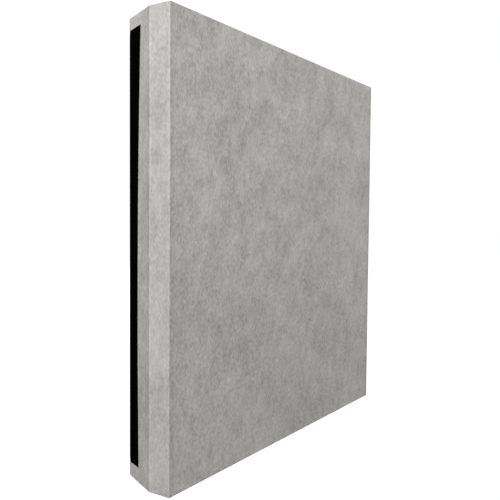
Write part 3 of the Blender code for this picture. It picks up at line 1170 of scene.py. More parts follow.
@dataclass(frozen=True)
class WovenCloth(Finish):
    """A plainly woven cloth with uneven threads, painted shade in the gaps between them, and a
    little dust, faded near its middle.
    """

    colour: Colour = srgb(12, 12, 12)
    # Painted shade in the gaps between the threads
    gap_shade_colour: Colour = srgb(2, 2, 2)
    faded_colour: Colour = srgb(28, 28, 29)
    faded_within: float = 0.0
    faded_run: float = 0.12
    fading: Pair = (0.6, 1.0)
    dust_colour: Colour = GREY_DUST
    gap_spread: Pair = (0.2, 0.9)
    thread: float = 0.0007
    dust: float = 0.02
    thread_tones: Pair = (0.8, 1.2)
    roughness: Pair = (0.85, 1.0)
    weave_depth: float = 0.0002
    follows: Follows = Follows.CLOTH

    def wire(self, wiring: Wiring, shader: NodeInputs) -> None:
        """Mixes threads, painted shade in the gaps, fading and dust.

        Args:
            wiring: Adds nodes to the material.
            shader: The inputs of its Principled BSDF.
        """
        vector = wiring.coordinates(self.follows)
        height, threads, gaps = PlainWeave.place(wiring, Vector=vector, Thread=self.thread)
        dust = SettledDust.place(wiring, Vector=vector)[0]
        across = wiring.math("ABSOLUTE", wiring.parts(vector)[0])
        middle = wiring.ramp(across, self.faded_within, self.faded_within - self.faded_run)
        patches = wiring.noise(vector, detail=4.0, roughness=0.6, scale=7.0)
        faded = wiring.times(middle, wiring.ramp(patches, *SPREAD, *self.fading))
        dye = wiring.mix(faded, self.colour, self.faded_colour)
        shade = wiring.ramp(threads, *WIDE_SPREAD, *self.thread_tones)
        yarn = wiring.add("VectorMath", {0: dye, "Scale": shade}, operation="SCALE").outputs[0]
        cloth = wiring.coats(
            yarn,
            # Painted shade in the gaps between the threads
            (wiring.ramp(gaps, *self.gap_spread), 1.0, self.gap_shade_colour),
            (dust, self.dust, self.dust_colour),
        )
        wiring.feed(shader["Base Color"], cloth)
        wiring.feed(shader["Roughness"], wiring.ramp(threads, *WIDE_SPREAD, *self.roughness))
        shader["Specular IOR Level"].default_value = 0.0
        self.bump(wiring, shader, height, self.weave_depth, 0.6)


@dataclass(frozen=True)
class Softwood(Finish):
    """Planed pine with growth rings, fine fibres and lightly rubbed edges."""

    early: Colour = srgb(222, 190, 142)
    late: Colour = srgb(186, 138, 86)
    grain: Grain = Grain.UPRIGHT
    ring_width: float = 0.005
    fibre_share: float = 0.35
    pore_share: float = 0.5
    wear_share: float = 0.3
    wear_radius: float = 0.0015
    roughness: Pair = (0.55, 0.8)
    grain_depth: float = 0.0002

    def wire(self, wiring: Wiring, shader: NodeInputs) -> None:
        """Mixes early and late wood, then the fibres, the pores and the edges.

        Args:
            wiring: Adds nodes to the material.
            shader: The inputs of its Principled BSDF.
        """
        place = wiring.coordinates()
        inputs = {"Vector": place, "Rotation": self.grain.value}
        along = wiring.add("Mapping", inputs).outputs[0]
        rings, fibres, pores = WoodGrain.place(wiring, Vector=along, Ring_Width=self.ring_width)
        wear = WornEdges.place(wiring, Vector=place, Radius=self.wear_radius)[0]
        wood = wiring.coats(
            wiring.mix(rings, self.early, self.late),
            (wiring.ramp(fibres, *SPREAD), self.fibre_share, scaled(self.late, 0.8)),
            (pores, self.pore_share, scaled(self.late, 0.45)),
            (wear, self.wear_share, scaled(self.early, 1.1)),
        )
        wiring.feed(shader["Base Color"], wood)
        wiring.feed(shader["Roughness"], wiring.ramp(fibres, *WIDE_SPREAD, *self.roughness))
        height = wiring.weighted((fibres, 0.6), (rings, -0.2), (pores, -0.5))
        self.bump(wiring, shader, height, self.grain_depth, 0.5)


@dataclass(frozen=True)
class Plywood(Finish):
    """Thin veneers glued crosswise, whose layers show on the edges."""

    veneer: Colour = srgb(214, 184, 140)
    cross_veneer: Colour = srgb(160, 118, 78)
    veneer_thickness: float = 0.0015
    glue_line: Pair = (0.4, 0.6)
    edge_facing: Pair = (0.7, 0.4)
    ring_width: float = 0.012
    ring_spread: Pair = (0.3, 1.0)
    figure: float = 4.0
    ring_share: float = 0.5
    pore_share: float = 0.4
    wear_share: float = 0.3
    wear_radius: float = 0.001
    roughness: Pair = (0.6, 0.85)
    grain_depth: float = 0.0002

    def wire(self, wiring: Wiring, shader: NodeInputs) -> None:
        """Stripes the edges by layer and grains the faces.

        Args:
            wiring: Adds nodes to the material.
            shader: The inputs of its Principled BSDF.
        """
        place = wiring.coordinates()
        rings, fibres, pores = WoodGrain.place(
            wiring, Vector=place, Ring_Width=self.ring_width, Figure=self.figure
        )
        depth = wiring.math("DIVIDE", wiring.parts(place)[1], self.veneer_thickness)
        layer = wiring.ramp(wiring.math("PINGPONG", depth, 1.0), *self.glue_line)
        facing = wiring.parts(wiring.coordinates(Follows.NORMAL))[1]
        edge = wiring.ramp(wiring.math("ABSOLUTE", facing), *self.edge_facing)
        wear = WornEdges.place(wiring, Vector=place, Radius=self.wear_radius)[0]
        wood = wiring.coats(
            self.veneer,
            (wiring.ramp(rings, *self.ring_spread), self.ring_share, self.cross_veneer),
            (wiring.times(edge, layer), 1.0, scaled(self.cross_veneer, 0.7)),
            (pores, self.pore_share, scaled(self.cross_veneer, 0.4)),
            (wear, self.wear_share, scaled(self.veneer, 1.1)),
        )
        wiring.feed(shader["Base Color"], wood)
        wiring.feed(shader["Roughness"], wiring.ramp(fibres, *WIDE_SPREAD, *self.roughness))
        height = wiring.weighted((fibres, 0.6), (layer, 0.2))
        self.bump(wiring, shader, height, self.grain_depth, 0.5)


@dataclass(frozen=True)
class FibreFill(Finish):
    """A mat of loose fibres, for the wool slabs and the wadding."""

    colour: Colour = srgb(176, 160, 108)
    deep_colour: Colour = srgb(112, 96, 56)
    fibre: float = 0.0009
    depth: float = 0.0012
    roughness: Pair = (0.9, 1.0)

    def wire(self, wiring: Wiring, shader: NodeInputs) -> None:
        """Mixes the fibres on top with the shade between them.

        Args:
            wiring: Adds nodes to the material.
            shader: The inputs of its Principled BSDF.
        """
        place = wiring.coordinates()
        fibres, clumps = FibreMat.place(wiring, Vector=place, Fibre=self.fibre)
        ground = wiring.mix(clumps, self.deep_colour, scaled(self.colour, 0.85))
        wiring.feed(shader["Base Color"], wiring.mix(fibres, ground, scaled(self.colour, 1.15)))
        wiring.feed(shader["Roughness"], wiring.ramp(clumps, 0.0, 1.0, *self.roughness))
        shader["Specular IOR Level"].default_value = 0.1
        height = wiring.weighted((fibres, 0.6), (clumps, 0.5))
        self.bump(wiring, shader, height, self.depth, 0.8)


@dataclass(frozen=True)
class PlatedSteel(Finish):
    """Plated steel with faint blotches, fine scratches, rubbed edges and dust."""

    colour: Colour = srgb(172, 174, 177)
    stain: Colour = srgb(130, 130, 129)
    rub_colour: Colour = srgb(208, 209, 211)
    dust_colour: Colour = GREY_DUST
    roughness: Pair = (0.28, 0.42)
    scratch_roughness: float = 0.12
    dusty_metal: Pair = (1.0, 0.7)
    blotch_scale: float = 420.0
    blotch_spread: Pair = (0.4, 0.7)
    scratch_scale: Factors = (9000.0, 9000.0, 700.0)
    scratch_spread: Pair = (0.62, 0.72)
    wear_radius: float = 0.0004
    wear_patch: float = 0.001
    dust_patch: float = 0.006
    stain_share: float = 0.6
    wear_share: float = 0.6
    dust_share: float = 0.10
    skin_depth: float = 0.00004

    def wire(self, wiring: Wiring, shader: NodeInputs) -> None:
        """Mixes plating, stains, wear and dust.

        Args:
            wiring: Adds nodes to the material.
            shader: The inputs of its Principled BSDF.
        """
        place = wiring.coordinates()
        blotches = wiring.noise(place, detail=4.0, roughness=0.65, scale=self.blotch_scale)
        blotches = wiring.ramp(blotches, *self.blotch_spread)
        lines = wiring.noise(wiring.scale(place, self.scratch_scale), detail=1.0)
        scratches = wiring.ramp(lines, *self.scratch_spread)
        wear = WornEdges.place(
            wiring, Vector=place, Radius=self.wear_radius, Break_Up=self.wear_patch
        )[0]
        dust = SettledDust.place(wiring, Vector=place, Patch=self.dust_patch)[0]
        plating = wiring.coats(
            self.colour,
            (blotches, self.stain_share, self.stain),
            (wear, self.wear_share, self.rub_colour),
            (dust, self.dust_share, self.dust_colour),
        )
        wiring.feed(shader["Base Color"], plating)
        dusty = wiring.times(dust, self.dust_share)
        wiring.feed(shader["Metallic"], wiring.ramp(dusty, 0.0, 0.2, *self.dusty_metal))
        skin = wiring.ramp(blotches, 0.0, 1.0, *self.roughness)
        scratched = wiring.times(scratches, self.scratch_roughness)
        wiring.feed(shader["Roughness"], wiring.plus(skin, scratched))
        height = wiring.weighted((blotches, 0.3), (scratches, -0.3))
        self.bump(wiring, shader, height, self.skin_depth, 0.5)


@dataclass(frozen=True)
class Rubber(Finish):
    """Matt black rubber with a fine pebbled skin, pale rubbed edges and dust."""

    colour: Colour = srgb(30, 30, 31)
    rub_colour: Colour = srgb(70, 69, 67)
    dust_colour: Colour = srgb(128, 124, 116)
    pebble_scale: float = 2600.0
    wear_radius: float = 0.0008
    wear_patch: float = 0.002
    dust_patch: float = 0.008
    wear_share: float = 0.5
    dust_share: float = 0.18
    roughness: Pair = (0.6, 0.8)
    skin_depth: float = 0.00006

    def wire(self, wiring: Wiring, shader: NodeInputs) -> None:
        """Mixes the skin, the wear and the dust.

        Args:
            wiring: Adds nodes to the material.
            shader: The inputs of its Principled BSDF.
        """
        place = wiring.coordinates()
        pebbles = wiring.noise(place, detail=2.0, scale=self.pebble_scale)
        wear = WornEdges.place(
            wiring, Vector=place, Radius=self.wear_radius, Break_Up=self.wear_patch
        )[0]
        dust = SettledDust.place(wiring, Vector=place, Patch=self.dust_patch)[0]
        skin = wiring.coats(
            self.colour,
            (wear, self.wear_share, self.rub_colour),
            (dust, self.dust_share, self.dust_colour),
        )
        wiring.feed(shader["Base Color"], skin)
        wiring.feed(shader["Roughness"], wiring.ramp(pebbles, *SPREAD, *self.roughness))
        self.bump(wiring, shader, pebbles, self.skin_depth, 0.6)


@dataclass(frozen=True)
class StudioFloor(Finish):
    """A pale matt floor that takes shadows, with a glow that makes it white to the camera."""

    colour: Colour = (0.35, 0.35, 0.35)
    mottle: float = 0.03
    glow: Pair = (0.80, SEEN_WHITE)
    glow_radii: Pair = (1.5, 7.0)

    def wire(self, wiring: Wiring, shader: NodeInputs) -> None:
        """Mottles the floor, and adds the glow to the rays that show it.

        Args:
            wiring: Adds nodes to the material.
            shader: The inputs of its Principled BSDF.
        """
        place = wiring.coordinates()
        grain = wiring.noise(place, detail=4.0, scale=30.0)
        tones = (1 - self.mottle, 1 + self.mottle)
        wiring.feed(
            shader["Base Color"], wiring.mix(grain, *(scaled(self.colour, tone) for tone in tones))
        )
        shader["Roughness"].default_value = 0.9
        shader["Specular IOR Level"].default_value = 0.0
        glow = wiring.ramp(wiring.length(place), *self.glow_radii, *self.glow)
        wiring.feed(shader["Emission Strength"], wiring.times(glow, wiring.seen()))
        shader["Emission Color"].default_value = (1.0, 1.0, 1.0, 1.0)


BLACK_CLOTH = WovenCloth(
    "black_weave", colour=srgb(5, 5, 5), gap_shade_colour=srgb(1, 1, 1), faded_within=0.45, dust=0.003
)
SCRIM = WovenCloth(
    "scrim_weave",
    colour=srgb(46, 46, 48),
    gap_shade_colour=srgb(10, 10, 10),
    thread=0.0011,
    follows=Follows.PIECE,
)
UPRIGHT_TIMBER = Softwood("pine_upright")
CROSS_TIMBER = Softwood(
    "pine_across", early=srgb(216, 182, 134), grain=Grain.ACROSS, ring_width=0.0042
)
BRACE_PLYWOOD = Plywood("brace_veneers")
WOOL = FibreFill("wool_fibre")
WADDING = FibreFill(
    "wadding_fibre",
    colour=srgb(232, 232, 228),
    deep_colour=srgb(196, 196, 192),
    fibre=0.0006,
    depth=0.0006,
)
YELLOW_ZINC = PlatedSteel(
    "yellow_zinc",
    colour=srgb(206, 186, 128),
    stain=srgb(160, 134, 84),
    rub_colour=srgb(226, 216, 180),
)
BRIGHT_ZINC = PlatedSteel("bright_zinc")
STAPLE_WIRE = PlatedSteel(
    "staple_wire",
    colour=srgb(140, 141, 143),
    stain=srgb(100, 98, 95),
    rub_colour=srgb(170, 171, 172),
    roughness=(0.46, 0.58),
)
PAD_RUBBER = Rubber("pad_rubber")


@dataclass(frozen=True)
class StapleRow:
    """Where the staples of the hems sit."""

    pitch: float = 0.046
    edge_distance: float = 0.013
    end_distance: float = 0.030
    crown: float = 0.0102
    wire_width: float = 0.0013
    wire_height: float = 0.0006
    wire_bend: float = 0.00036
    leg: float = 0.008
    largest_turn: float = math.radians(7)
    largest_slip: float = 0.0015
    seed: int = 7

    def places(self, shape: TrapShape) -> list[tuple[float, float, float]]:
        """The middle of each staple's crown and its turn, the same on every run.

        Args:
            shape: The trap's sizes.

        Returns:
            (x, z, turn) for each staple.
        """
        draws = random.Random(self.seed)
        last = shape.front_half - self.end_distance
        low = shape.hem_height - self.edge_distance
        found = []
        for z in (low, shape.height - low):
            for x in [-last, *steps_between(-last, last, self.pitch), last]:
                slip = draws.uniform(-self.largest_slip, self.largest_slip)
                rise = draws.uniform(-self.largest_slip, self.largest_slip)
                turn = draws.uniform(-self.largest_turn, self.largest_turn)
                found.append((x + slip, z + rise, turn))
        return found


@dataclass
class GreyCover:
    """The grey cloth: one piece round front, bevels, sides and both ends, hemmed on the back."""

    shape: TrapShape
    staples: StapleRow
    thickness: float = 0.0008
    arris: float = 0.0012
    fold_rise: float = 0.0007
    fold_run: float = 0.0005
    pitch_across: float = 0.009
    pitch_up: float = 0.012
    hem_pitch: float = 0.0045
    turned_edge: float = 0.008
    turned_rise: float = 0.0003
    slot_shift_bottom: float = -0.0020
    slot_shift_middle: float = 0.0034
    slot_shift_top: float = -0.0122
    slot_give: float = 0.030
    slot_rise_back: float = 0.0048
    slot_rise_front: float = 0.0072
    ripple: float = 0.0004
    ripple_length: float = 0.130
    ripple_clear: float = 0.018
    ripple_sink: float = 0.6
    fine_ripple: float = 0.4
    scallop: float = 0.0011
    stray_scallop: float = 0.4
    strays_per_metre: float = 18.0
    dimple: float = 0.0004
    dimple_radius: float = 0.009
    piece: Object = field(init=False)

    @property
    def arrises(self) -> Pair:
        """How far the two arrises of a bevel lie from the flat cloth's middle line."""
        return self.shape.front_half, self.shape.front_half + self.shape.bevel_width

    @property
    def flap_half(self) -> float:
        """Half the width of the flap that folds over each end, which is the flat front's."""
        return self.shape.front_half - self.fold_run

    @property
    def flat_size(self) -> Pair:
        """The width and length that the cloth was cut to.

        Returns:
            (width, length).
        """
        shape = self.shape
        width = 2 * (shape.front_half + shape.bevel_width + shape.back - shape.bevel_rear)
        return width, shape.height + 2 * (shape.back - shape.front + shape.hem_height)

    @property
    def flat_area(self) -> float:
        """The area of the cut cloth, without its corners and its slots.

        Returns:
            The area in square metres.
        """
        shape = self.shape
        slots = 2 * (shape.back - shape.slot_front) * (shape.slot_high - shape.slot_low)
        ends = 4 * shape.half_width * (shape.back - shape.front + shape.hem_height)
        bevel_corners = 2 * (shape.half_width - shape.front_half) * (shape.bevel_rear - shape.front)
        return self.flat_size[0] * shape.height - slots + ends - bevel_corners

    def build(self) -> None:
        """Builds the cloth from a block of the trap's shape."""
        bm = self.block()
        self.cut_grid(bm)
        self.open_back_and_slots(bm)
        lay_out(bm, self.flat_place)
        self.raise_folds(bm)
        self.pull_slot_edges(bm)
        self.soften(bm)
        self.press_hems(bm)
        finish = BrushedCloth(
            "brushed_grey",
            arrises=self.arrises,
            slot_edge=self.shape.across(self.shape.half_width, self.shape.slot_front),
        )
        self.piece = mesh_piece("grey_cover", bm, finish, "panel")

    def dress(self) -> None:
        """Gives the cloth its thickness and hides the CAD nodes that it replaces."""
        make_cloth(self.piece, self.thickness)
        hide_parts("face_cloth", "cloth_fold_bottom", "cloth_fold_top")
        self.flat_size
        self.flat_area

    def block(self) -> BMesh:
        """A closed block of the trap's outline with rounded arrises.

        Returns:
            The block.
        """
        bm = bmesh.new()
        outline = [bm.verts.new((x, y, 0.0)) for x, y in self.shape.outline]
        bottom = bmesh.ops.contextual_create(bm, geom=outline)["faces"]
        top = of_kind(bmesh.ops.extrude_face_region(bm, geom=bottom)["geom"], BMVert)
        bmesh.ops.translate(bm, verts=top, vec=Axis.Z.value * self.shape.height)
        bmesh.ops.recalc_face_normals(bm, faces=bm.faces)
        round_off(bm, list(bm.edges), self.arris)
        return bm

    def cut_grid(self, bm: BMesh) -> None:
        """Cuts the block into small faces, with lines where the cloth folds or ends.

        Args:
            bm: The block.
        """
        shape = self.shape
        flap = (-self.flap_half, self.flap_half)
        fold_lines = (self.flap_half, self.flap_half + self.fold_run)
        turned_lines = (self.turned_edge, self.turned_edge + self.turned_rise)
        before_slot = [shape.slot_front - line for line in turned_lines]
        near_end = [
            shape.slot_low,
            *(shape.slot_low - line for line in turned_lines),
            shape.hem_height,
        ]
        for axis, places in (
            (Axis.X, steps_between(*flap, self.pitch_across)),
            (Axis.X, [side.value * line for side in Side for line in fold_lines]),
            (Axis.Y, [shape.slot_front, *before_slot]),
            (Axis.Y, steps_between(shape.front, before_slot[-1], self.pitch_up)),
            (Axis.Y, steps_between(shape.slot_front, shape.back, self.pitch_up)),
            (Axis.Z, steps_between(shape.slot_low, shape.slot_high, self.pitch_up)),
            (Axis.Z, near_end),
            (Axis.Z, [shape.height - place for place in near_end]),
        ):
            cut_across(bm, axis, places)
        cut_across(bm, Axis.X, steps_between(*flap, self.hem_pitch), self.hems(bm))
        low_rows = steps_between(0.0, shape.hem_height, self.hem_pitch)
        high_rows = [shape.height - row for row in low_rows]
        cut_across(bm, Axis.Z, low_rows + high_rows, self.hems(bm))

    def hems(self, bm: BMesh) -> list[BMFace]:
        """The faces of both hems.

        Args:
            bm: The block, cut into small faces.

        Returns:
            The faces.
        """
        return [
            face for face in bm.faces if face.normal.y > SQUARE_ON and not self.between_hems(face)
        ]

    def between_hems(self, face: BMFace) -> bool:
        """Whether a face lies between the two hems' free edges."""
        height = face.calc_center_median().z
        return self.shape.hem_height < height < self.shape.height - self.shape.hem_height

    def open_back_and_slots(self, bm: BMesh) -> None:
        """Takes away the back between the hems, and the sides between the slots' ends.

        Args:
            bm: The block, cut into small faces.
        """
        shape = self.shape
        gone = []
        for face in bm.faces:
            middle = face.calc_center_median()
            on_back = middle.y > shape.back - self.arris / 4
            in_slot = middle.y > shape.slot_front and shape.slot_low < middle.z < shape.slot_high
            at_side = abs(middle.x) > shape.half_width - self.arris
            if (on_back and self.between_hems(face)) or (in_slot and at_side):
                gone.append(face)
        bmesh.ops.delete(bm, geom=gone, context="FACES")

    def flat_place(self, face: BMFace) -> FlatPlace:
        """How the points of a face map to the flat cloth.

        Args:
            face: The face, whose normal says which panel it belongs to.

        Returns:
            A function from a point to its place across and along the flat cloth.
        """
        shape = self.shape
        middle = face.calc_center_median()
        end = math.copysign(1.0, middle.z - shape.height / 2)
        edge = shape.height if end > 0 else 0.0
        if abs(face.normal.z) > TOWARDS and abs(middle.x) < shape.front_half:
            return lambda co: (co.x, edge + end * (co.y - shape.front))
        if abs(face.normal.z) > TOWARDS:
            return lambda co: (
                shape.across(math.copysign(shape.edge_x(co.y), co.x), co.y),
                edge + end * (shape.edge_x(co.y) - abs(co.x)),
            )
        if face.normal.y > TOWARDS:
            depth = shape.back - shape.front
            return lambda co: (co.x, edge + end * (depth + abs(edge - co.z)))
        return lambda co: (shape.across(co.x, co.y), co.z)

    def raise_folds(self, bm: BMesh) -> None:
        """Lifts the flap over the layer below it, which leaves a folded edge on ends and hems.

        Args:
            bm: The sheet.
        """
        shape = self.shape
        lifted = self.arris + MERGE_DISTANCE
        for vert in bm.verts:
            if abs(vert.co.x) > self.flap_half + MERGE_DISTANCE:
                continue
            if vert.co.z > shape.height - lifted:
                vert.co.z += self.fold_rise
            elif vert.co.z < lifted:
                vert.co.z -= self.fold_rise
            if vert.co.y > shape.back - self.arris - MERGE_DISTANCE:
                vert.co.y += self.fold_rise

    def slot_shift(self, height: float) -> float:
        """How far the cloth's edge has been pulled back at the slot, at a height.

        Args:
            height: The height above the bottom face.

        Returns:
            The shift towards the back, on a parabola through those at the bottom, middle and top.
        """
        share = (height - self.shape.slot_low) / (self.shape.slot_high - self.shape.slot_low)
        share = max(0.0, min(1.0, share))
        bottom = self.slot_shift_bottom * (1 - share) * (1 - 2 * share)
        middle = self.slot_shift_middle * 4 * share * (1 - share)
        return bottom + middle + self.slot_shift_top * share * (2 * share - 1)

    def slot_rise(self, y: float) -> float:
        """How far the cloth's edge has crept up at the slot's lower end, at this Y."""
        forward = min(1.0, (self.shape.back - y) / (self.shape.back - self.shape.slot_front))
        return self.slot_rise_back + (self.slot_rise_front - self.slot_rise_back) * forward

    def pull_slot_edges(self, bm: BMesh) -> None:
        """Shifts the cloth's edge at each slot, and thickens it where it is turned under.

        Args:
            bm: The sheet.
        """
        shape = self.shape
        for vert in bm.verts:
            co = vert.co
            if abs(co.x) < shape.half_width - FRAME_GAP:
                continue
            before = max(0.0, shape.slot_front - co.y)
            below = shape.slot_low - co.z
            past_end = max(0.0, below, co.z - shape.slot_high)
            outside = math.hypot(before, past_end)
            rise = smooth_step(outside, self.turned_edge + self.turned_rise, self.turned_edge)
            co.x += math.copysign(self.turned_rise * rise, co.x)
            near_front = smooth_step(before, self.slot_give, 0.0)
            if co.y <= shape.slot_front + FRAME_GAP:
                near_end = smooth_step(past_end, shape.slot_low, 0.0)
                co.y += self.slot_shift(co.z) * near_front * near_end
            if below > -FRAME_GAP:
                near_bottom = smooth_step(below, shape.slot_low, 0.0)
                co.z += self.slot_rise(co.y) * near_bottom * near_front

    def soften(self, bm: BMesh) -> None:
        """Moves the flat panels in and out a little, as cloth over soft wadding does.

        Args:
            bm: The sheet.
        """
        shape = self.shape
        bm.normal_update()
        for vert in bm.verts:
            co = vert.co
            if max(map(abs, vert.normal)) < SQUARE_ON or co.y > shape.back - self.arris:
                continue
            across = abs(shape.across(co.x, co.y))
            from_arris = min(abs(across - line) for line in self.arrises)
            from_end = min(co.z, shape.height - co.z)
            free = smooth_step(min(from_end, from_arris), self.arris, self.ripple_clear)
            wave = noise.noise(co / self.ripple_length)
            wave += self.fine_ripple * noise.noise(co * 3 / self.ripple_length)
            co -= vert.normal * self.ripple * free * (self.ripple_sink - wave)

    def press_hems(self, bm: BMesh) -> None:
        """Dimples the hems under the staples, and lets their free edges creep back between them.

        Args:
            bm: The sheet.
        """
        shape = self.shape
        places = self.staples.places(shape)
        on_hems = [vert for vert in bm.verts if vert.co.y > shape.back + self.fold_rise / 2]
        for vert in on_hems:
            co = vert.co
            end = math.copysign(1.0, co.z - shape.height / 2)
            hem_edge = shape.hem_height if end < 0 else shape.height - shape.hem_height
            row = [place for place in places if (place[1] - shape.height / 2) * end > 0]
            nearest = min(row, key=lambda place: abs(place[0] - co.x))
            across = abs(nearest[0] - co.x)
            distance = math.hypot(across, nearest[1] - co.z)
            co.y -= self.dimple * math.exp(-((distance / self.dimple_radius) ** 2))
            near_edge = smooth_step(abs(co.z - hem_edge), self.staples.edge_distance, 0.0)
            slack = 1 - math.cos(math.tau * across / self.staples.pitch)
            stray = noise.noise(Vector((co.x * self.strays_per_metre, end, 0.0)))
            co.z += end * near_edge * self.scallop * (slack / 2 + self.stray_scallop * stray)


@dataclass
class BlackLining:
    """The black cloth: one piece over the back, round its edges and under the grey at the slots."""

    shape: TrapShape
    cover: GreyCover
    thickness: float = 0.0005
    side_inset: float = 0.0001
    back_inset: float = 0.0004
    tuck: float = 0.018
    tuck_drop: float = 0.0008
    tuck_run: float = 0.004
    end_inset: float = 0.014
    arris: float = 0.0006
    pitch: float = 0.012
    sag: float = 0.0012
    sag_margin: float = 0.020
    sag_run: float = 0.080
    sag_half_width: float = 0.330
    full_sag_half_width: float = 0.198
    sag_ripple: Pair = (0.7, 0.6)
    sag_ripples_per_metre: float = 9.0
    vent_dip: float = 0.0006
    vent_margin: float = 0.006
    screw_hole: float = 0.0026
    piece: Object = field(init=False)

    @property
    def outer_x(self) -> float:
        """How far from the middle the cloth's outer face lies at the sides."""
        return self.shape.half_width - self.side_inset

    @property
    def outer_y(self) -> float:
        """Where the cloth's outer face lies on the back."""
        return self.shape.back - self.back_inset

    def build(self) -> None:
        """Builds the cloth from its outline, drawn up to its height."""
        bm = bmesh.new()
        front = self.shape.slot_front - self.tuck
        outline = [(-self.outer_x, front), (-self.outer_x, self.outer_y)]
        outline += [(-x, y) for x, y in reversed(outline)]
        verts = [bm.verts.new((x, y, self.end_inset)) for x, y in outline]
        edges = [bm.edges.new(pair) for pair in zip(verts, verts[1:])]
        top = of_kind(bmesh.ops.extrude_edge_only(bm, edges=edges)["geom"], BMVert)
        length = self.shape.height - 2 * self.end_inset
        bmesh.ops.translate(bm, verts=top, vec=Axis.Z.value * length)
        self.face_outwards(bm)
        round_off(bm, [edge for edge in bm.edges if len(edge.link_faces) == 2], self.arris)
        flat = self.outer_x - self.arris
        ends = (self.end_inset, self.shape.height - self.end_inset)
        cut_across(bm, Axis.X, steps_between(-flat, flat, self.pitch))
        cut_across(bm, Axis.Y, steps_between(front, self.outer_y - self.arris, self.pitch / 2))
        cut_across(bm, Axis.Z, steps_between(*ends, self.pitch))
        self.open_screw_holes(bm)
        lay_out(bm, lambda face: self.flat_place)
        self.hollow(bm)
        self.piece = mesh_piece("black_lining", bm, BLACK_CLOTH, "panel")

    def dress(self) -> None:
        """Gives the cloth its thickness and hides the CAD nodes that it replaces."""
        make_cloth(self.piece, self.thickness)
        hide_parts("back_cloth", "slot_cloth_left", "slot_cloth_right")

    def face_outwards(self, bm: BMesh) -> None:
        """Turns every face away from the trap's middle.

        Args:
            bm: The sheet.
        """
        middle = Vector((0, 0, self.shape.height / 2))
        bmesh.ops.recalc_face_normals(bm, faces=bm.faces)
        inwards = [
            face
            for face in bm.faces
            if face.normal.dot(face.calc_center_median() - middle) < 0
        ]
        bmesh.ops.reverse_faces(bm, faces=inwards)

    def open_screw_holes(self, bm: BMesh) -> None:
        """Opens the cloth where the hangers' screws go through it, under the straps.

        Args:
            bm: The sheet.
        """
        reach = (-self.screw_hole, self.screw_hole)
        for side in Side:
            for level in Level:
                low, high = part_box(f"hanger_screw_{level.word}_{side.word}")
                middle = (low + high) / 2
                near = self.faces_near(bm, middle, 2 * self.pitch, 2 * self.pitch)
                cut_across(bm, Axis.X, [middle.x + step for step in reach], near)
                near = self.faces_near(bm, middle, self.pitch, 2 * self.pitch)
                cut_across(bm, Axis.Z, [middle.z + step for step in reach], near)
                hole = self.faces_near(bm, middle, self.screw_hole, self.screw_hole)
                bmesh.ops.delete(bm, geom=hole, context="FACES")

    @staticmethod
    def faces_near(bm: BMesh, place: Vector, across: float, up: float) -> list[BMFace]:
        """The faces near a place on the back.

        Args:
            bm: The sheet.
            place: The place.
            across: How far from it in X a face's middle may lie.
            up: How far from it in Z.

        Returns:
            The faces.
        """
        found = []
        for face in bm.faces:
            middle = face.calc_center_median()
            if abs(middle.x - place.x) < across and abs(middle.z - place.z) < up:
                found.append(face)
        return found

    def flat_place(self, co: Vector) -> Pair:
        """Where a point lies on the flat cloth, in metres."""
        return co.x + math.copysign(self.outer_y - co.y, co.x), co.z

    def hollow(self, bm: BMesh) -> None:
        """Lets the cloth sag a little between the rails, and dip over the vents.

        Args:
            bm: The sheet.
        """
        bays = self.bays()
        vents = [
            opening["box_m"]
            for opening in frame["record"]["physics"]["openings"]
            if opening["name"].startswith("vent")
        ]
        for vert in bm.verts:
            co = vert.co
            if co.y > self.outer_y - self.arris - FRAME_GAP:
                clear = max(min(co.z - low, high - co.z) for low, high in bays)
                share = smooth_step(clear, 0.0, self.sag_run)
                share *= smooth_step(abs(co.x), self.sag_half_width, self.full_sag_half_width)
                least, swing = self.sag_ripple
                ripple = least + swing * noise.noise(co * self.sag_ripples_per_metre)
                past_hem = min(co.z, self.shape.height - co.z) - self.shape.hem_height
                drop = self.tuck_drop * smooth_step(past_hem, self.tuck_run, 0.0)
                co.y -= max(drop, self.sag * share * ripple)
            if abs(co.x) > self.outer_x - self.arris - FRAME_GAP:
                clear = max(
                    min(co.y - low[1], high[1] - co.y, co.z - low[2], high[2] - co.z)
                    for low, high in vents
                )
                dip = self.vent_dip * smooth_step(clear, 0.0, self.vent_margin)
                inside = min(
                    co.y - self.shape.slot_front - self.cover.slot_shift(co.z),
                    co.z - self.shape.slot_low - self.cover.slot_rise(co.y),
                    self.shape.slot_high - co.z,
                )
                drop = self.tuck_drop * smooth_step(inside, self.tuck_run, 0.0)
                co.x -= math.copysign(max(dip, drop), co.x)

    def bays(self) -> list[Pair]:
        """The height ranges between the boards and rails that hold the cloth.

        Returns:
            (low, high) for each, with a margin at both ends.
        """
        edges = [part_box("bottom_board")[1].z]
        for rail in RAILS:
            low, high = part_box(rail)
            edges += [low.z, high.z]
        edges.append(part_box("top_board")[0].z)
        gaps = zip(edges[::2], edges[1::2])
        return [(low + self.sag_margin, high - self.sag_margin) for low, high in gaps]


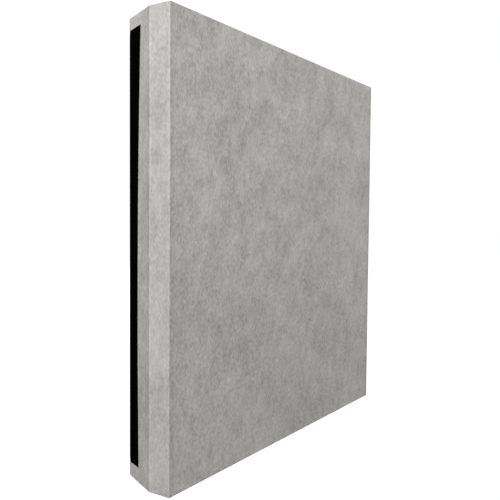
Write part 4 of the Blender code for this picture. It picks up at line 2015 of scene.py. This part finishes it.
@dataclass
class HemStaples:
    """The staples that hold both hems to the frame."""

    shape: TrapShape
    row: StapleRow
    seat: float = 0.0006
    edge: float = 0.00018
    edge_angle: float = math.radians(30)
    piece: Object = field(init=False)

    def staple(self) -> Mesh:
        """One staple with its crown's middle at the origin and its legs towards -Y.

        Returns:
            Its mesh.
        """
        row = self.row
        bm = bmesh.new()
        crown = Matrix.Diagonal((row.crown, row.wire_height, row.wire_width, 1.0))
        bmesh.ops.create_cube(bm, size=1.0, matrix=crown)
        shoulder = row.crown / 2 - row.wire_height
        cut_across(bm, Axis.X, (-shoulder, shoulder))
        feet = [
            face
            for face in bm.faces
            if face.normal.y < -SQUARE_ON and abs(face.calc_center_median().x) > shoulder
        ]
        legs = bmesh.ops.extrude_discrete_faces(bm, faces=feet)["faces"]
        verts = [vert for leg in legs for vert in leg.verts]
        bmesh.ops.translate(bm, verts=verts, vec=Axis.Y.value * -row.leg)
        shoulders = [
            edge
            for edge in bm.edges
            if all(
                abs(vert.co.x) > shoulder + MERGE_DISTANCE and vert.co.y > 0
                for vert in edge.verts
            )
        ]
        round_off(bm, shoulders, row.wire_bend)
        return free_to_mesh("staple", bm)

    def build(self) -> None:
        """Sets one staple at each of the row's places."""
        pattern = self.staple()
        bm = bmesh.new()
        surface = self.shape.back + self.seat + self.row.wire_height / 2
        for x, z, turn in self.row.places(self.shape):
            first = len(bm.verts)
            bm.from_mesh(pattern)
            bm.verts.ensure_lookup_table()
            place = Matrix.Translation((x, surface, z)) @ Matrix.Rotation(turn, 4, "Y")
            bmesh.ops.transform(bm, matrix=place, verts=bm.verts[first:])
        bpy.data.meshes.remove(pattern)
        self.piece = mesh_piece("hem_staples", bm, STAPLE_WIRE, "panel")

    def dress(self) -> None:
        """Softens the wire's edges."""
        soften_edges(self.piece, self.edge, steps=1, angle=self.edge_angle)


@dataclass
class Hanger:
    """A strap hanger with its ring and its two screws."""

    side: Side
    strap_edge: float = 0.00018
    ring_steps: int = 16
    corner: float = 0.003
    wire_sides: int = 16
    head_height: float = 0.0020
    head_crown: float = 0.65
    head_steps: int = 32
    crown_steps: int = 6
    recess_length: float = 0.0042
    recess_width: float = 0.0009
    recess_depth: float = 0.0013
    recess_taper: float = 0.45
    recess_turn: float = 0.4
    recess_spread: float = 0.9
    thread_radius: float = 0.0016
    coplanar: float = math.radians(1)
    strap: Object = field(init=False)

    def build(self) -> None:
        """Builds the strap, the ring and the screws."""
        self.build_strap()
        self.build_ring()
        for level in Level:
            self.build_screw(level)

    def dress(self) -> None:
        """Softens the small edges of the strap."""
        soften_edges(self.strap, self.strap_edge, steps=2, angle=SHARP_ANGLE)
        keep_faces_flat(self.strap)

    def build_strap(self) -> None:
        """Takes the strap from the frame, merged, so that its edges can be softened."""
        node = f"hanger_strap_{self.side.word}"
        bm = bmesh.new()
        bm.from_mesh(frame["nodes"][node].data)
        bmesh.ops.remove_doubles(bm, verts=bm.verts, dist=MERGE_DISTANCE)
        bmesh.ops.dissolve_limit(bm, angle_limit=self.coplanar, verts=bm.verts, edges=bm.edges)
        bmesh.ops.recalc_face_normals(bm, faces=bm.faces)
        name = f"strap_{self.side.word}"
        self.strap = mesh_piece(name, bm, BRIGHT_ZINC, "panel")
        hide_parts(node)

    def build_ring(self) -> None:
        """Bends a round wire into the D-shaped ring, from the middle of its bar round and back."""
        node = f"hanger_ring_{self.side.word}"
        low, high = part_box(node)
        wire = (high.y - low.y) / 2
        leg = (high.x - low.x) / 2 - wire
        pivot = Vector(((low.x + high.x) / 2, (low.y + high.y) / 2, high.z - wire))
        drop_centre = (high.z - low.z - 2 * wire) - leg
        bm = bmesh.new()
        upright = Matrix.Translation(pivot) @ Matrix.Rotation(math.pi / 2, 4, "Y")
        bmesh.ops.create_circle(bm, segments=self.wire_sides, radius=wire, matrix=upright)
        section = list(bm.edges)

        def draw(shift: Vector) -> None:
            """Draws the wire on in a straight line.

            Args:
                shift: How far and which way.
            """
            nonlocal section
            made = bmesh.ops.extrude_edge_only(bm, edges=section)["geom"]
            moved = of_kind(made, BMVert)
            bmesh.ops.translate(bm, verts=moved, vec=shift)
            section = [
                edge for edge in of_kind(made, BMEdge) if all(vert in moved for vert in edge.verts)
            ]

        def bend(centre: Vector, angle: float, steps: int) -> None:
            """Bends the wire round a centre.

            Args:
                centre: The centre.
                angle: How far round it.
                steps: The steps of the bend.
            """
            nonlocal section
            made = bmesh.ops.spin(
                bm,
                geom=section,
                cent=centre,
                axis=Axis.Y.value,
                angle=angle,
                steps=steps,
                use_merge=False,
            )
            section = of_kind(made["geom_last"], BMEdge)

        across = Axis.X.value * (leg - self.corner)
        down = Axis.Z.value * (self.corner - drop_centre)
        draw(across)
        bend(pivot + across - Axis.Z.value * self.corner, math.pi / 2, self.ring_steps // 2)
        draw(down)
        bend(pivot - Axis.Z.value * drop_centre, math.pi, self.ring_steps * 2)
        draw(-down)
        bend(pivot - across - Axis.Z.value * self.corner, math.pi / 2, self.ring_steps // 2)
        draw(across)
        bmesh.ops.remove_doubles(bm, verts=bm.verts, dist=MERGE_DISTANCE)
        bmesh.ops.recalc_face_normals(bm, faces=bm.faces)
        name = f"ring_{self.side.word}"
        piece = mesh_piece(name, bm, BRIGHT_ZINC, name)
        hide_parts(node)

    def screw_profile(self, head: float, length: float) -> list[Pair]:
        """A pan head screw's profile; height 0 is the underside of its head.

        Args:
            head: The head's radius.
            length: How far the shank goes below the head.

        Returns:
            (radius, height) pairs from the head's top to the tip.
        """
        flat, shank = self.head_height * (1 - self.head_crown), self.thread_radius
        crown = [
            (head * math.sin(turn), flat + self.head_height * self.head_crown * math.cos(turn))
            for turn in quarter_turn(self.crown_steps)
        ]
        return crown + [(head, 0.0), (shank, 0.0), (shank, 2 * shank - length), (0.0, -length)]

    def recess(self, seat: Vector, turn: float) -> BMesh:
        """The cross that is cut into a screw's head, narrower at its bottom.

        Args:
            seat: The middle of the head's underside.
            turn: How far the screw is turned.

        Returns:
            The cross, standing half out of the head's top.
        """
        cross = bmesh.new()
        top = seat + Axis.Y.value * self.head_height
        place = Matrix.Translation(top) @ Matrix.Rotation(turn, 4, "Y")
        long, narrow, depth = self.recess_length, self.recess_width, 2 * self.recess_depth
        for size in ((long, depth, narrow), (narrow, depth, long)):
            arm = Matrix.Diagonal((*size, 1.0))
            bmesh.ops.create_cube(cross, size=1.0, matrix=place @ arm)
        bottom = [vert for vert in cross.verts if vert.co.y < top.y]
        shrink = Matrix.Diagonal((self.recess_taper, 1.0, self.recess_taper, 1.0))
        middle = Matrix.Translation(seat)
        bmesh.ops.transform(cross, matrix=middle @ shrink @ middle.inverted(), verts=bottom)
        return cross

    def build_screw(self, level: Level) -> None:
        """Builds a screw with a cross recess in its head.

        Args:
            level: Which of the hanger's screws.
        """
        node = f"hanger_screw_{level.word}_{self.side.word}"
        low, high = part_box(node)
        seat = on_axis(low, high, high.y - self.head_height)
        profile = self.screw_profile((high.x - low.x) / 2, seat.y - low.y)
        turn = self.recess_turn + self.recess_spread * self.side.value * level.value
        bm = take_out(turned(profile, self.head_steps, seat), self.recess(seat, turn))
        name = f"screw_{level.word}_{self.side.word}"
        piece = mesh_piece(name, bm, BRIGHT_ZINC, "panel")
        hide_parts(node)


@dataclass
class WallPad:
    """A rubber pad on the back that keeps the trap off the wall."""

    side: Side
    end: End
    steps: int = 48
    rim_steps: int = 5
    shoulder: float = 0.0012
    dish_radius: float = 0.0045
    dish_rim_radius: float = 0.00504
    dish_floor_radius: float = 0.00315
    dish_depth: float = 0.0008
    dish_rim_depth: float = 0.00024
    skirt: float = 0.0012
    skirt_top: float = 0.00192
    skirt_edge: float = 0.00096

    def profile(self, base: float, height: float) -> list[Pair]:
        """The pad's profile, from the middle of its face to the middle of its back.

        Args:
            base: The radius at the back.
            height: How far it stands off.

        Returns:
            (radius, height) pairs.
        """
        face = base - 2 * self.skirt
        inner, lower = face - self.shoulder, height - self.shoulder
        rim = [
            (inner + self.shoulder * math.sin(turn), lower + self.shoulder * math.cos(turn))
            for turn in quarter_turn(self.rim_steps)
        ]
        dish = [
            (0.0, height - self.dish_depth),
            (self.dish_floor_radius, height - self.dish_depth),
            (self.dish_radius, height - self.dish_rim_depth),
            (self.dish_rim_radius, height),
        ]
        skirt = [(face, self.skirt_top), (face + self.skirt, self.skirt), (base, self.skirt_edge)]
        return dish + rim + skirt + [(base, 0.0), (0.0, 0.0)]

    def build(self) -> None:
        """Spins the pad in its place."""
        place = f"{self.end.word}_{self.side.word}"
        node = f"wall_pad_{place}"
        low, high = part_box(node)
        profile = self.profile((high.x - low.x) / 2, high.y - low.y)
        bm = turned(profile, self.steps, on_axis(low, high, low.y))
        piece = mesh_piece(f"pad_{place}", bm, PAD_RUBBER, "panel")
        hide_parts(node)


@dataclass
class Inside:
    """The frame, its screws and the core, which keep the CAD nodes' shapes."""

    finishes: dict[str, Finish] = field(
        default_factory=lambda: {
            "side_board": UPRIGHT_TIMBER,
            "bottom_board": CROSS_TIMBER,
            "top_board": CROSS_TIMBER,
            "cross_rail": CROSS_TIMBER,
            "corner_brace": BRACE_PLYWOOD,
            "corner_screw": YELLOW_ZINC,
            "rail_screw": YELLOW_ZINC,
            "core_slab": WOOL,
            "core_scrim": SCRIM,
            "front_wadding": WADDING,
        }
    )

    def dress(self) -> None:
        """Gives every node that is still shown the finish of its kind."""
        for name, node in sorted(frame["nodes"].items()):
            if node.hide_render:
                continue
            kind = next(word for word in self.finishes if name.startswith(word))
            finish = self.finishes[kind]
            node.data.materials.clear()
            node.data.materials.append(finish.material())
            LOG.info("%s: keeps its CAD shape, finish %s", name, finish.name)


@dataclass(frozen=True)
class SoftBox:
    """A soft square lamp that looks at a point."""

    name: str
    place: tuple[float, float, float]
    aim: tuple[float, float, float]
    size: float
    power: float

    def build(self) -> None:
        """Makes the lamp."""
        data = bpy.data.lights.new(self.name, "AREA")
        data.shape = "SQUARE"
        data.size = self.size
        data.energy = self.power
        lamp = add_object(self.name, data)
        lamp.location = self.place
        towards = Vector(self.aim) - Vector(self.place)
        lamp.rotation_mode = "QUATERNION"
        lamp.rotation_quaternion = towards.to_track_quat("-Z", "Y")


@dataclass
class Studio:
    """The pale floor, the lamps, the white surroundings and the camera."""

    floor_size: float = 60.0
    ambient: float = 0.02
    lamps: tuple[SoftBox, ...] = (
        SoftBox("left", (-3.6, -1.4, 3.0), (-0.4, 0.0, 0.7), 1.6, 148.0),
        SoftBox("near", (-1.5, -1.7, 2.6), (-0.3, 0.0, 0.7), 1.0, 20.0),
        SoftBox("right", (3.6, -3.6, 2.8), (0.0, 0.0, 0.6), 2.0, 155.0),
        SoftBox("back", (1.0, 4.2, 3.2), (0.0, 0.0, 0.6), 2.0, 240.0),
    )
    camera_place: tuple[float, float, float] = (-0.9672, -1.0116, 0.6933)
    yaw: float = math.radians(47.18)
    pitch: float = math.radians(-1.678)
    roll: float = math.radians(0.658)
    lens: float = 30.177
    shift: Pair = (-0.1009, -0.0333)
    nearest_seen: float = 0.01

    def build(self) -> None:
        """Makes all of it."""
        self.build_floor()
        self.build_world()
        for lamp in self.lamps:
            lamp.build()
        self.build_camera()
        bpy.context.scene.view_settings.view_transform = "Standard"

    def build_floor(self) -> None:
        """A wide floor that looks white to the camera and still takes shadows."""
        bm = bmesh.new()
        bmesh.ops.create_grid(bm, x_segments=1, y_segments=1, size=self.floor_size / 2)
        mesh = free_to_mesh("floor", bm)
        mesh.materials.append(StudioFloor("studio_floor").material())
        add_object("floor", mesh)

    def build_world(self) -> None:
        """White surroundings to look at, and a low even light on the object."""
        world = bpy.data.worlds.new("studio")
        world.use_nodes = True
        wiring = Wiring(world.node_tree)
        background = world.node_tree.nodes["Background"]
        background.inputs["Color"].default_value = (1.0, 1.0, 1.0, 1.0)
        strength = wiring.blend(wiring.seen(), self.ambient, SEEN_WHITE)
        wiring.feed(background.inputs["Strength"], strength)
        bpy.context.scene.world = world

    def build_camera(self) -> None:
        """The camera at the photograph's place."""
        data = bpy.data.cameras.new("camera")
        data.lens = self.lens
        data.shift_x, data.shift_y = self.shift
        data.clip_start = self.nearest_seen
        data.clip_end = 2 * self.floor_size
        camera = add_object("camera", data)
        along = math.cos(self.pitch)
        forward = Vector(
            (math.sin(self.yaw) * along, math.cos(self.yaw) * along, math.sin(self.pitch))
        )
        level = Vector((math.cos(self.yaw), -math.sin(self.yaw), 0.0))
        above = level.cross(forward)
        right = level * math.cos(self.roll) + above * math.sin(self.roll)
        up = above * math.cos(self.roll) - level * math.sin(self.roll)
        turn = Matrix((right, up, -forward)).transposed().to_4x4()
        camera.matrix_world = Matrix.Translation(self.camera_place) @ turn
        bpy.context.scene.camera = camera


def main() -> None:
    """Builds the sub-assemblies in order."""
    logging.basicConfig(level=logging.INFO, format="%(message)s")
    shape = TrapShape.from_frame()
    staples = StapleRow()
    cover = GreyCover(shape, staples)
    for part in (cover, BlackLining(shape, cover), HemStaples(shape, staples)):
        part.build()
        part.dress()
    for side in Side:
        hanger = Hanger(side)
        hanger.build()
        hanger.dress()
        for end in End:
            WallPad(side, end).build()
    Inside().dress()
    Studio().build()


if __name__ == "__main__":
    main()
